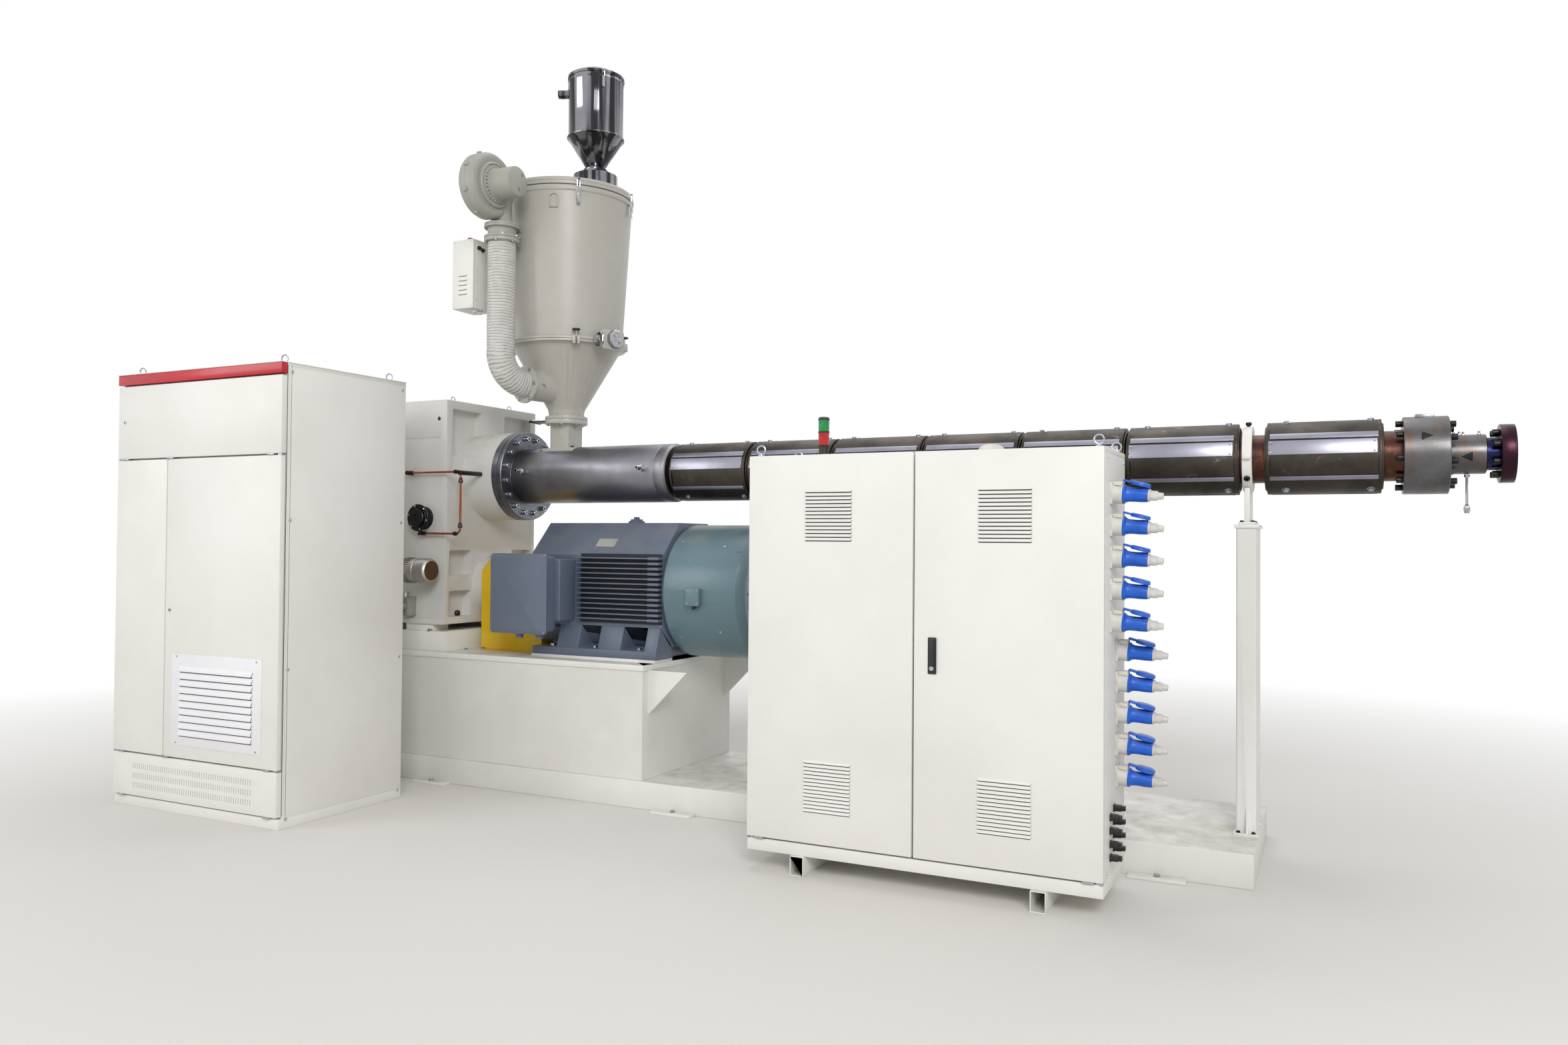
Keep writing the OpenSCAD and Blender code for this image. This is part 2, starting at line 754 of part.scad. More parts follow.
module heater_shrouds() {
    collar_l = 9;
    color("dimgray")
        for (x = zone_starts) {
            difference() {
                translate([x, 0, barrel_z])
                    rotate([90, 0, 90]) linear_extrude(shroud_l(x)) polygon(shroud_outline());
                rod_x(x - cut, x + shroud_l(x) + cut, tube_r + seat, 0, barrel_z);
            }
            for (end = [x - collar_l + cut, x + shroud_l(x) - cut])
                barrel_ring(end, end + collar_l - cut, zone_r - 16, tube_r + seat);
        }
}

// A flat bar that lies on the shroud between two of its corners
module shroud_bar(x0, x1, a0, a1, side, t) {
    low = on_shroud(a0, side, seat);
    high = on_shroud(a1, side, seat);
    mid = on_shroud((a0 + a1) / 2, side, 0) / zone_r;
    translate([x0, 0, barrel_z])
        rotate([90, 0, 90])
            linear_extrude(x1 - x0) polygon([low, high, high + mid * t, low + mid * t]);
}

module shroud_panels() {
    inset = 14;
    color("lightsteelblue")
        for (x = zone_starts, side = [-1, 1]) {
            x1 = x + shroud_l(x) - inset;
            shroud_bar(x + inset, x1, strip_low + 1, strip_top, side, panel_t + 3);
            shroud_bar(x + inset - 5, x1 - 4, panel_low, strip_low - 1, side, panel_t);
            shroud_bar(x + inset, x1, lower_strip_low, lower_strip_top, side, panel_t + 3);
        }
}

module barrel_post() {
    top = barrel_z - post_drop;
    foot_t = 12;
    cap_plate_t = 14;
    color("whitesmoke") {
        translate([clamp_x, 0, plinth_h])
            linear_extrude(top - plinth_h - cap_plate_t + cut) round_rect(post_t, post_w, corner_r);
        block([clamp_x - post_t / 2 - 8, -post_w / 2 - 8, top - cap_plate_t],
              [clamp_x + post_t / 2 + 8, post_w / 2 + 8, top]);
        block([clamp_x - post_t / 2 - 10, -post_w / 2 - 30, plinth_h],
              [clamp_x + post_t / 2 + 10, post_w / 2 + 30, plinth_h + foot_t]);
        for (side = [-1, 1])
            translate([clamp_x + 5, side * post_w / 2, plinth_h + foot_t - cut])
                rotate([90, 0, side * 90 - 90])
                    rotate([0, 90, 0])
                        translate([0, 0, -5]) linear_extrude(10) polygon([[0, 0], [28, 0], [0, 120]]);
    }
}

module barrel_clamp() {
    top = barrel_z - post_drop;
    color("whitesmoke") {
        barrel_ring(clamp_x - clamp_t / 2, clamp_x + clamp_t / 2, tube_r + clamp_wall, tube_r + seat);
        block([clamp_x - stem_t / 2, -stem_w / 2, top], [clamp_x + stem_t / 2, stem_w / 2, barrel_z - tube_r - 24]);
    }
    color("black") {
        translate([clamp_x, 0, barrel_z + tube_r + clamp_wall - 2]) cylinder(h = 22, r = 11);
        for (side = [-1, 1])
            translate([clamp_x, side * (tube_r + clamp_wall - 2), barrel_z])
                rotate([-side * 90, 0, 0]) cylinder(h = 20, r = 11);
    }
}

// Outlet

module outlet_ring() {
    color("silver")
        translate([ring_x, 0, barrel_z])
            rotate([0, 90, 0])
                rotate_extrude()
                    polygon([[0, 0], [ring_r - 4, 0], [ring_r, 4], [ring_r, ring_l - 4],
                             [ring_r - 4, ring_l], [0, ring_l]]);
}

module outlet_adapter() {
    color("silver")
        translate([adapter_x, 0, barrel_z])
            rotate([0, 90, 0])
                rotate_extrude()
                    polygon([[melt_r, 0], [adapter_r, 0], [adapter_r, adapter_l], [neck_r, adapter_l],
                             [neck_r, adapter_l + neck_l], [melt_r, adapter_l + neck_l]]);
}

module outlet_flange() {
    color("purple") difference() {
        barrel_ring(outlet_x, outlet_x + outlet_t, outlet_r, melt_r);
        for (i = [0:outlet_holes - 1]) {
            a = (i + 0.5) * 360 / outlet_holes;
            rod_x(outlet_x - cut, outlet_x + outlet_t + cut, outlet_hole_r,
                  outlet_bolt_circle_r * cos(a), barrel_z + outlet_bolt_circle_r * sin(a));
        }
    }
}

module melt_sensor() {
    x = adapter_x + adapter_l / 2;
    top = barrel_z - adapter_r - seat;
    color("silver") {
        translate([x, 0, top - 125]) cylinder(h = 125, r = 5);
        translate([x, 0, top - 160]) cylinder(h = 36, r = 12, $fn = 6);
    }
}

// Hopper dryer

module hopper_throat() {
    half = throat_w / 2;
    hole = half - throat_wall;
    base_z = throat_z + throat_plate_t;
    color("oldlace") translate([hopper_x, 0, 0]) difference() {
        union() {
            block([-half - 44, -half - 16, throat_z], [half + 44, half + 16, base_z]);
            block([-half, -half, base_z - cut], [half, half, gate_z + cut]);
            translate([0, 0, gate_z]) cylinder(h = gate_flange_t, r = gate_flange_r);
            for (turn = [0:90:270])
                rotate([0, 0, turn])
                    translate([half - cut, 6, gate_z])
                        rotate([90, 0, 0])
                            linear_extrude(12) difference() {
                                translate([0, -48]) square([48, 49]);
                                translate([49, -49]) circle(r = 46);
                            }
        }
        block([-hole, -hole, throat_z - cut], [hole, hole, gate_z + gate_flange_t + cut]);
        block([-gate_flange_r - cut, -gate_half_w - gate_clear, gate_z + gate_flange_t - gate_slot_h],
              [half + 6, gate_half_w + gate_clear, gate_z + gate_flange_t + cut]);
    }
}

module slide_gate() {
    z = gate_z + gate_flange_t - gate_slot_h + gate_clear;
    x0 = hopper_x - gate_flange_r - 105;
    x1 = hopper_x + throat_w / 2 + 6 - gate_clear;
    color("gray") {
        block([x0, -gate_half_w, z], [x1, gate_half_w, z + gate_t]);
        translate([x0, -gate_half_w + 8, z + gate_t / 2])
            rotate([-90, 0, 0]) cylinder(h = 2 * gate_half_w - 16, r = gate_t);
    }
}

module hopper_cone() {
    w = drum_wall;
    bore = cone_r - 25;
    stub_r = duct_r + 12;
    stub_reach = duct_reach - duct_bend - seat;
    color("antiquewhite") difference() {
        union() {
            translate([hopper_x, 0, 0])
                rotate_extrude()
                    polygon([[0, cone_flange_z], [gate_flange_r, cone_flange_z],
                             [gate_flange_r, cone_flange_z + cone_flange_t],
                             [cone_r - 6, cone_flange_z + cone_flange_t],
                             [cone_r, cone_z], [drum_foot_r - 8, ring_z - 12],
                             [drum_foot_r + ring_out, ring_z - 12], [drum_foot_r + ring_out, ring_z],
                             [0, ring_z]]);
            translate([hopper_x, 0, stub_z])
                rotate([0, 90, duct_angle]) cylinder(h = stub_reach, r = stub_r);
            translate([hopper_x, 0, stub_z])
                rotate([0, 90, duct_angle])
                    translate([0, 0, stub_reach - 14]) cylinder(h = 14, r = stub_r + 18);
            for (turn = [0:90:270])
                translate([hopper_x, 0, cone_flange_z + cone_flange_t - cut])
                    rotate([90, 0, turn])
                        translate([0, 0, -5]) linear_extrude(10) difference() {
                            translate([cone_r - 14, 0]) square([32, cone_neck_h + 14]);
                            translate([cone_r + 42, cone_neck_h]) circle(r = 38);
                        }
        }
        translate([hopper_x, 0, 0])
            rotate_extrude()
                polygon([[0, cone_flange_z - cut], [bore, cone_flange_z - cut], [bore, cone_z],
                         [drum_foot_r - w, ring_z - 12], [drum_foot_r - w, ring_z + cut], [0, ring_z + cut]]);
    }
}

module hopper_drum() {
    w = drum_wall;
    color("antiquewhite")
        translate([hopper_x, 0, 0])
            rotate_extrude()
                polygon([[drum_foot_r - w, ring_z], [drum_foot_r + ring_out, ring_z],
                         [drum_foot_r + ring_out, ring_z + ring_t], [drum_foot_r, ring_z + ring_t + 4],
                         [drum_top_r, lid_z - 22], [drum_top_r + lid_out - 4, lid_z - 18],
                         [drum_top_r + lid_out - 4, lid_z], [drum_top_r - w, lid_z]]);
}

module hopper_lid() {
    r = drum_top_r + lid_out;
    color("antiquewhite") {
        translate([hopper_x, 0, 0])
            rotate_extrude()
                polygon([[0, lid_z], [r, lid_z], [r, lid_z + 12], [r - 5, lid_z + 16], [r - 5, lid_top_z - 6],
                         [r - 12, lid_top_z], [0, lid_top_z + lid_crown]]);
        translate([loader_x, loader_y, lid_z + 10]) cylinder(h = loader_seat_z - seat - lid_z - 10, r = loader_r + 4);
    }
}

module cleanout_latch() {
    turn = -14;
    r0 = drum_foot_r + ring_out;
    color("lightgray")
        translate([hopper_x, 0, ring_z]) rotate([0, 0, turn]) {
            block([r0 + seat, -62, -30], [r0 + 60, 62, 34]);
            block([r0 + 60 - cut, -78, -48], [r0 + 90, 78, 60]);
            translate([r0 + 89, 0, 6]) rotate([0, 90, 0]) cylinder(h = 14, r = 44);
            translate([r0 + 40, -78, 0]) rotate([90, 0, 0]) cylinder(h = 14, r = 44);
            block([r0 + 30, -79, -44], [r0 + 70, -62 + cut, 44]);
        }
}

module dryer_blower() {
    neck_out_r = blower_w / 2 - 3;
    bracket_z = duct_z1 + 20;
    color("lightgray") {
        translate([blower_x0, blower_y, blower_z])
            rotate([0, 90, 0])
                rotate_extrude()
                    polygon([[0, 0], [blower_r - 26, 0], [blower_r, 24], [blower_r, blower_w - 24],
                             [blower_r - 26, blower_w], [blower_r - 70, blower_w],
                             [blower_r - 78, blower_w + 22], [blower_motor_r, blower_w + 26],
                             [blower_motor_r, blower_w + 150], [blower_motor_r - 8, blower_w + 158],
                             [0, blower_w + 158]]);
        translate([duct_x, duct_y, duct_z1 + 16]) cylinder(h = blower_z - duct_z1 - 16, r = neck_out_r);
        translate([duct_x, duct_y, duct_z1]) cylinder(h = blower_neck_h, r = duct_r + 3);
        translate([duct_x, duct_y, duct_z1]) cylinder(h = 12, r = duct_flange_r);
        translate([duct_x, duct_y, duct_z1 + blower_neck_h - 24]) cylinder(h = 24, r = duct_flange_r);
        translate([hopper_x, 0, bracket_z])
            rotate([0, 0, duct_angle])
                block([drum_r(bracket_z + 30) + seat, -25, 0], [duct_reach - 20, 25, 30]);
    }
}

module hot_air_duct() {
    stub_reach = duct_reach - duct_bend;
    swell = 3;
    color("white") {
        translate([duct_x, duct_y, duct_z0 - cut]) cylinder(h = duct_z1 - duct_z0, r = duct_r);
        translate([duct_x, duct_y, duct_z1 - 20]) cylinder(h = 20 - seat, r = duct_flange_r);
        translate([hopper_x, 0, duct_z0])
            rotate([0, 0, duct_angle])
                translate([stub_reach, 0, 0])
                    rotate([90, 0, 0])
                        rotate([0, 0, -90]) pipe_bend(duct_bend, duct_r + swell);
    }
}

dryer_box_x = hopper_x - drum_foot_r - 148;
dryer_box_y = -450;
dryer_box_z = ring_z + 180;

module dryer_control_box() {
    w = 150;
    d = 180;
    h = 390;
    color("whitesmoke") {
        block([dryer_box_x, dryer_box_y, dryer_box_z], [dryer_box_x + w, dryer_box_y + d, dryer_box_z + h]);
        for (z = [dryer_box_z + 60, dryer_box_z + 290]) {
            y = dryer_box_y + d - 10;
            x1 = hopper_x - sqrt(pow(drum_r(z + 25), 2) - pow(y, 2)) - seat;
            block([dryer_box_x + w - cut, y - 30, z], [x1, y, z + 25]);
        }
    }
    color("red") translate([dryer_box_x + w / 2, dryer_box_y + 60, dryer_box_z + h - cut]) cylinder(h = 26, r = 20);
}

// Vacuum loader

module loader_seat() {
    color("silver")
        translate([loader_x, loader_y, 0])
            rotate_extrude()
                polygon([[0, loader_seat_z], [loader_r - 10, loader_seat_z], [loader_r - 10, loader_seat_z + 8],
                         [loader_r - 30, loader_seat_z + 8], [loader_r - 30, loader_cone_z - 30],
                         [loader_mouth_r + 20, loader_cone_z - 16], [loader_mouth_r + 20, loader_cone_z],
                         [0, loader_cone_z]]);
}

module loader_body() {
    w = loader_wall;
    top = loader_z + loader_h;
    color("silver") {
        translate([loader_x, loader_y, 0])
            rotate_extrude()
                polygon([[loader_mouth_r - w, loader_cone_z], [loader_mouth_r + 14, loader_cone_z],
                         [loader_mouth_r + 14, loader_cone_z + 8], [loader_mouth_r, loader_cone_z + 8],
                         [loader_mouth_r, loader_cone_z + 14], [loader_r, loader_z - 10],
                         [loader_r + 8, loader_z - 6], [loader_r + 8, loader_z], [loader_r, loader_z + 4],
                         [loader_r, top], [loader_r - w, top], [loader_r - w, loader_z - 6],
                         [loader_mouth_r - w, loader_cone_z + 18]]);
        translate([loader_x, loader_y, top - 70])
            rotate([0, 90, 200]) translate([0, 0, loader_r - 3]) cylinder(h = 70, r = 25);
    }
}

module loader_lid() {
    top = loader_z + loader_h;
    color("silver")
        translate([loader_x, loader_y, 0])
            rotate_extrude()
                polygon([[0, top], [loader_r + 6, top], [loader_r + 6, top + 16], [loader_r - 20, top + 34],
                         [60, top + 40], [60, top + 62], [50, top + 66], [0, top + 66]]);
}

// Drive cabinet

module drive_base() {
    color("lightgray") block([drive_left, drive_y0 + 12, 0], [drive_right, drive_y1, drive_base_h]);
}

module drive_sides() {
    color("whitesmoke")
        for (x = [drive_left, drive_right - panel_fold])
            block([x, drive_frame_y, drive_base_h], [x + panel_fold, drive_y1, drive_roof_z]);
}

module drive_back() {
    color("whitesmoke")
        block([drive_left + panel_fold, drive_y1 - panel_fold, drive_base_h],
              [drive_right - panel_fold, drive_y1, drive_roof_z]);
}

module drive_roof() {
    cap_sheet_t = 4;
    color("whitesmoke") {
        block([drive_left, drive_frame_y, drive_roof_z], [drive_right, drive_y1, drive_h]);
        block([drive_left - 4, drive_y0 - 8, drive_h - cap_sheet_t], [drive_right + 4, drive_y1, drive_h]);
    }
}

module drive_header() {
    color("red")
        block([drive_left, drive_y0 - 4, drive_h - header_h], [drive_right, drive_frame_y, drive_h - 4 - seat]);
}

module drive_front_frame() {
    x0 = drive_left + panel_fold;
    x1 = drive_right - panel_fold;
    color("gainsboro")
        for (z = [drive_door_z - door_gap / 2, upper_door_z - door_gap / 2, drive_roof_z - frame_bar / 2])
            block([x0, drive_frame_y, z - frame_bar / 2], [x1, drive_frame_y + frame_bar, z + frame_bar / 2]);
}

module drive_centre_post() {
    color("gainsboro")
        block([split_x - frame_bar / 2, drive_frame_y, drive_door_z - door_gap / 2 + frame_bar / 2],
              [split_x + frame_bar / 2, drive_frame_y + frame_bar, upper_door_z - door_gap / 2 - frame_bar / 2]);
}

module drive_upper_door() {
    color("whitesmoke") block([drive_left, drive_y0, upper_door_z], [drive_right, drive_frame_y, upper_door_top]);
}

module drive_slot_panel() {
    rows = 3;
    slots = 40;
    slot_w = 5;
    slot_h = 28;
    pitch = 18;
    first = (drive_left + drive_right - (slots - 1) * pitch) / 2;
    color("whitesmoke") difference() {
        block([drive_left, drive_y0, slot_panel_z], [drive_right, drive_frame_y, slot_panel_z + slot_panel_h]);
        for (i = [0:slots - 1], row = [0:rows - 1])
            block([first + i * pitch, drive_y0 - cut, slot_panel_z + 50 + row * 42],
                  [first + i * pitch + slot_w, drive_y0 + 4, slot_panel_z + 50 + row * 42 + slot_h]);
    }
}

// The holes for the hinge pins in the lower and upper end of a leaf
module pin_holes(x, y, z0, z1) {
    depth = pin_l + cut;
    for (z = [z0 - cut, z1 - depth])
        translate([x, y, z]) cylinder(h = depth + cut, r = hinge_r + seat);
}

module drive_narrow_door() {
    z1 = drive_door_z + drive_door_h;
    color("whitesmoke") difference() {
        block([drive_left, drive_y0, drive_door_z], [drive_left + narrow_door_w, drive_y0 + leaf_t, z1]);
        pin_holes(drive_left + pin_in, drive_y0 + pin_in, drive_door_z, z1);
    }
}

module drive_wide_door() {
    x0 = drive_left + narrow_door_w + door_gap;
    louvre_w = 640;
    louvre_h = 445;
    mid = (x0 + drive_right) / 2;
    z0 = drive_door_z + 70;
    margin = 42;
    blade_h = (louvre_h - 2 * margin) / louvre_blades;
    color("whitesmoke") {
        difference() {
            block([x0, drive_y0, drive_door_z], [drive_right, drive_y0 + leaf_t, drive_door_z + drive_door_h]);
            pin_holes(drive_right - pin_in, drive_y0 + pin_in, drive_door_z, drive_door_z + drive_door_h);
        }
        difference() {
            block([mid - louvre_w / 2, drive_y0 - 8, z0], [mid + louvre_w / 2, drive_y0 + cut, z0 + louvre_h]);
            block([mid - louvre_w / 2 + margin, drive_y0 - 8 - cut, z0 + margin],
                  [mid + louvre_w / 2 - margin, drive_y0, z0 + louvre_h - margin]);
        }
        for (i = [0:louvre_blades - 1])
            translate([mid - louvre_w / 2 + margin - cut, drive_y0, z0 + margin + i * blade_h])
                rotate([90, 0, 90])
                    linear_extrude(louvre_w - 2 * margin + 2 * cut)
                        polygon([[cut, blade_h - 4], [-1, blade_h - 4], [-12, 6], [-12, 3], [cut, 8]]);
    }
}

// Control cabinet

module control_feet() {
    foot_w = 60;
    wall = 4;
    out = 30;
    control_foot_in = 235;
    color("whitesmoke")
        for (x = [control_left + control_foot_in, control_right - control_foot_in]) {
            difference() {
                block([x - foot_w / 2, control_y0 - 10, 0], [x + foot_w / 2, control_y1 + out, control_foot_h]);
                block([x - foot_w / 2 + wall, control_y0 - 10 - cut, wall],
                      [x + foot_w / 2 - wall, control_y1 + out + cut, control_foot_h - wall]);
            }
        }
}

module control_base() {
    color("whitesmoke")
        block([control_left, control_y0 + 6, control_z0], [control_right, control_y1, control_z0 + strip_h]);
}

module control_sides() {
    color("whitesmoke")
        for (x = [control_left, control_right - panel_fold])
            block([x, control_frame_y, control_z0 + strip_h],
                  [x + panel_fold, control_y1, control_z1 - panel_fold]);
}

module control_back() {
    color("whitesmoke")
        block([control_left + panel_fold, control_y1 - panel_fold, control_z0 + strip_h],
              [control_right - panel_fold, control_y1, control_z1 - panel_fold]);
}

module control_roof() {
    color("whitesmoke")
        block([control_left, control_y0, control_z1 - panel_fold], [control_right, control_y1, control_z1]);
}

// A leaf of the control cabinet with two fields of louvre slots and the holes for its hinge pins at pin_x
module control_leaf(x0, x1, louvre_x, pin_x) {
    field = 210;
    slots = 14;
    slot_h = 5;
    pitch = field / slots;
    color("whitesmoke") difference() {
        block([x0, control_y0, control_door_z], [x1, control_y0 + leaf_t, control_door_top]);
        pin_holes(pin_x, control_y0 + pin_in, control_door_z, control_door_top);
        for (z = [control_z0 + 175, control_door_top - 350], i = [0:slots - 1])
            block([louvre_x, control_y0 - cut, z + i * pitch], [louvre_x + field, control_y0 + 5, z + i * pitch + slot_h]);
    }
}

module control_left_door() {
    control_leaf(control_left, control_split_x - door_gap / 2, control_left + 258, control_left + pin_in);
}

module control_right_door() {
    handle_x = control_split_x + 79;
    handle_z = control_z0 + 780;
    control_leaf(control_split_x + door_gap / 2, control_right, control_right - 472, control_right - pin_in);
    color("black")
        block([handle_x - 17, control_y0 - 14, handle_z], [handle_x + 17, control_y0 + cut, handle_z + 140]);
}

// A round knuckle with its pin on a hinge axis, and a bracket back to the frame; up = 1 under a leaf
// and -1 above it, inward = 1 where the leaf lies towards +X
module hinge(x, y, frame_y, z, up, inward) {
    bracket_l = 22;
    h = door_gap - seat;
    translate([x, y, z]) mirror([0, 0, up > 0 ? 0 : 1]) {
        cylinder(h = h, r = pin_in);
        cylinder(h = door_gap + pin_l, r = hinge_r);
        block([min(0, inward * bracket_l), 0, 0], [max(0, inward * bracket_l), frame_y - y, h]);
    }
}

// The upper and lower hinges of a pair of leaves
module hinge_set(x0, x1, y, frame_y, low, high) {
    for (inward = [-1, 1]) {
        x = inward > 0 ? x0 : x1;
        hinge(x, y, frame_y, low, 1, inward);
        hinge(x, y, frame_y, high, -1, inward);
    }
}

module door_hinges() {
    color("silver") {
        hinge_set(drive_left + pin_in, drive_right - pin_in, drive_y0 + pin_in, drive_frame_y,
                  drive_door_z - door_gap, drive_door_z + drive_door_h + door_gap);
        hinge_set(control_left + pin_in, control_right - pin_in, control_y0 + pin_in, control_frame_y,
                  control_door_z - door_gap, control_door_top + door_gap);
    }
}

// Sockets and plugs on the control cabinet's right side, as [y, z] of each socket
socket_columns = [[control_y0 + 150, control_z1 - 170], [control_y0 + 280, control_z1 - 770]];
socket_rows = [
    for (c = socket_columns, i = [0:sockets_in_row - 1]) [c[0], c[1] - i * socket_pitch]
];
plug_tilt = 4;
socket_l = 46;

module plug_sockets() {
    color("gainsboro")
        for (p = socket_rows) {
            block([control_right, p[0] - 36, p[1] - 45], [control_right + 8, p[0] + 36, p[1] + 45]);
            translate([control_right + 6, p[0], p[1]])
                rotate([0, 90 + plug_tilt, 0]) cylinder(h = socket_l, r1 = 42, r2 = 36);
        }
}

module plugs() {
    for (p = socket_rows)
        translate([control_right + 6, p[0], p[1]])
            rotate([0, 90 + plug_tilt, 0])
                translate([0, 0, socket_l + seat]) {
                    color("royalblue")
                        rotate_extrude()
                            polygon([[0, 0], [plug_r + 7, 0], [plug_r + 7, 14], [plug_r + 1, 20],
                                     [plug_r - 3, plug_l], [0, plug_l]]);
                    color("gainsboro") {
                        translate([0, 0, plug_l - cut]) cylinder(h = 22, r = plug_r - 7);
                        translate([0, 0, plug_l + 20]) cylinder(h = 20, r = plug_r - 12);
                    }
                }
}

module small_connectors() {
    color("black")
        for (row = [0:3], column = [0:1]) {
            y = control_y0 + 140 + column * 75;
            z = control_z0 + 120 + row * 50 + column * 20;
            block([control_right, y - 14, z - 11], [control_right + 46, y + 14, z + 11]);
        }
}

module stack_light() {
    r = 25;
    x = control_left + 216;
    y = control_y0 + 280;
    color("black") translate([x, y, control_z1]) cylinder(h = 60, r = r);
    color("red") translate([x, y, control_z1 + 59]) cylinder(h = 56, r = r);
    color("green") translate([x, y, control_z1 + 114]) cylinder(h = 56, r = r);
    color("black") translate([x, y, control_z1 + 169]) cylinder(h = 14, r1 = r, r2 = r - 6);
}

bed_plinth();
bed_box();
foot_plates();
gearbox_riser();
gearbox_housing();
barrel_flange();
oil_filter();
oil_pump_motor();
oil_gear_pump();
oil_pipes();
motor_body();
motor_fan_cowl();
motor_terminal_box();
coupling_guard();
feed_section();
hose_fittings();
barrel_tube();
heater_shrouds();
shroud_panels();
barrel_post();
barrel_clamp();
outlet_ring();
outlet_adapter();
outlet_flange();
melt_sensor();
hopper_throat();
slide_gate();
hopper_cone();
hopper_drum();
hopper_lid();
cleanout_latch();
dryer_blower();
hot_air_duct();
dryer_control_box();
loader_seat();
loader_body();
loader_lid();
drive_base();
drive_sides();
drive_back();
drive_roof();
drive_header();
drive_front_frame();
drive_centre_post();
drive_upper_door();
drive_slot_panel();
drive_narrow_door();
drive_wide_door();
control_feet();
control_base();
control_sides();
control_back();
control_roof();
control_left_door();
control_right_door();
door_hinges();
plug_sockets();
plugs();
small_connectors();
stack_light();
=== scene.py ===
import json
import math

import bmesh
import bpy
from mathutils import Matrix, Vector


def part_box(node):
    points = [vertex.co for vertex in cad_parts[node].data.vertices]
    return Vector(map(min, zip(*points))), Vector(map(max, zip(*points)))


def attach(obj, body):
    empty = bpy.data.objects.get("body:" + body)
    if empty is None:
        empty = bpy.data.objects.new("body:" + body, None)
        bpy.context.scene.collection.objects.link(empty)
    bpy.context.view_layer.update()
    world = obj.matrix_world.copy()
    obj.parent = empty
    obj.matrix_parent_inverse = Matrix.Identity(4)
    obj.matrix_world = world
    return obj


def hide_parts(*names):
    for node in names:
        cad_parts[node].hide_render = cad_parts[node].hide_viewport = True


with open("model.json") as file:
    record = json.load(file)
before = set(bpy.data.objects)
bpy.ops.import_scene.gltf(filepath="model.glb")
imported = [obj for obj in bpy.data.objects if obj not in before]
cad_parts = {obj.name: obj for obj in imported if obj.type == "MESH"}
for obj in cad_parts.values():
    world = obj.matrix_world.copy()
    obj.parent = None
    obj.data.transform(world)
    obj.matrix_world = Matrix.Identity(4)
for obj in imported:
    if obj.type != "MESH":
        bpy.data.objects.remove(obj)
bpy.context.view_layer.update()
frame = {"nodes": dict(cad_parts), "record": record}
cadNodes = frame["nodes"]
bodyOf = {node: body for body, members in frame["record"]["behaviour"]["bodies"].items() for node in members}
slotOf = {part["node"]: part["material_slot"] for part in frame["record"]["subparts"]}
print("frame loaded,", len(cadNodes), "nodes")

# heights and stations that several pieces share, in metres
line = {"barrelZ": 1.745, "shaftZ": 1.1, "gearTop": 2.17, "gearLow": 0.88, "clampX": 4.23, "ringX": 4.82,
        "hopperX": 0.544, "lidZ": 3.34, "ringZ": 2.49}

# materials


def linear(hexCode):
    parts = [int(hexCode[i:i + 2], 16) / 255 for i in (0, 2, 4)]
    return tuple(c / 12.92 if c <= 0.04045 else ((c + 0.055) / 1.055) ** 2.4 for c in parts) + (1.0,)


def addNode(tree, kind, settings=None, links=None):
    node = tree.nodes.new(kind)
    for key, value in (settings or {}).items():
        if isinstance(key, int) or key in node.inputs.keys():
            node.inputs[key].default_value = value
        else:
            setattr(node, key, value)
    for key, source in (links or {}).items():
        tree.links.new(source, node.inputs[key])
    return node


def startMaterial(name, metallic=0.0, ior=1.5):
    material = bpy.data.materials.new(name)
    material.use_nodes = True
    tree = material.node_tree
    shader = tree.nodes["Principled BSDF"]
    shader.inputs["Metallic"].default_value = metallic
    shader.inputs["IOR"].default_value = ior
    place = addNode(tree, "ShaderNodeTexCoord")
    return material, tree, shader, place.outputs["Object"], place.outputs["Normal"]


def noise(tree, where, scale, detail=4, rough=0.55, warp=0.0, stretch=None):
    if stretch:
        where = addNode(tree, "ShaderNodeMapping", {"Scale": stretch}, {"Vector": where}).outputs[0]
    return addNode(tree, "ShaderNodeTexNoise",
                   {"Scale": scale, "Detail": detail, "Roughness": rough, "Distortion": warp},
                   {"Vector": where}).outputs[0]


def ranged(tree, value, low, high, outLow=0.0, outHigh=1.0):
    return addNode(tree, "ShaderNodeMapRange",
                   {"From Min": low, "From Max": high, "To Min": outLow, "To Max": outHigh},
                   {"Value": value}).outputs[0]


def joined(tree, a, b, operation="MULTIPLY"):
    return addNode(tree, "ShaderNodeMath", {"operation": operation}, {0: a, 1: b}).outputs[0]


def mixed(tree, share, a, b):
    node = addNode(tree, "ShaderNodeMix", {"data_type": "RGBA"}, {0: share})
    for socket, colour in ((6, a), (7, b)):
        if isinstance(colour, str):
            node.inputs[socket].default_value = linear(colour)
        else:
            tree.links.new(colour, node.inputs[socket])
    return node.outputs[2]


def bumped(tree, shader, height, depth):
    bump = addNode(tree, "ShaderNodeBump", {"Distance": depth}, {"Height": height})
    tree.links.new(bump.outputs[0], shader.inputs["Normal"])


def upwardFaces(tree, normal, low):
    tilt = addNode(tree, "ShaderNodeSeparateXYZ", links={"Vector": normal}).outputs["Z"]
    return ranged(tree, tilt, low, 0.95)


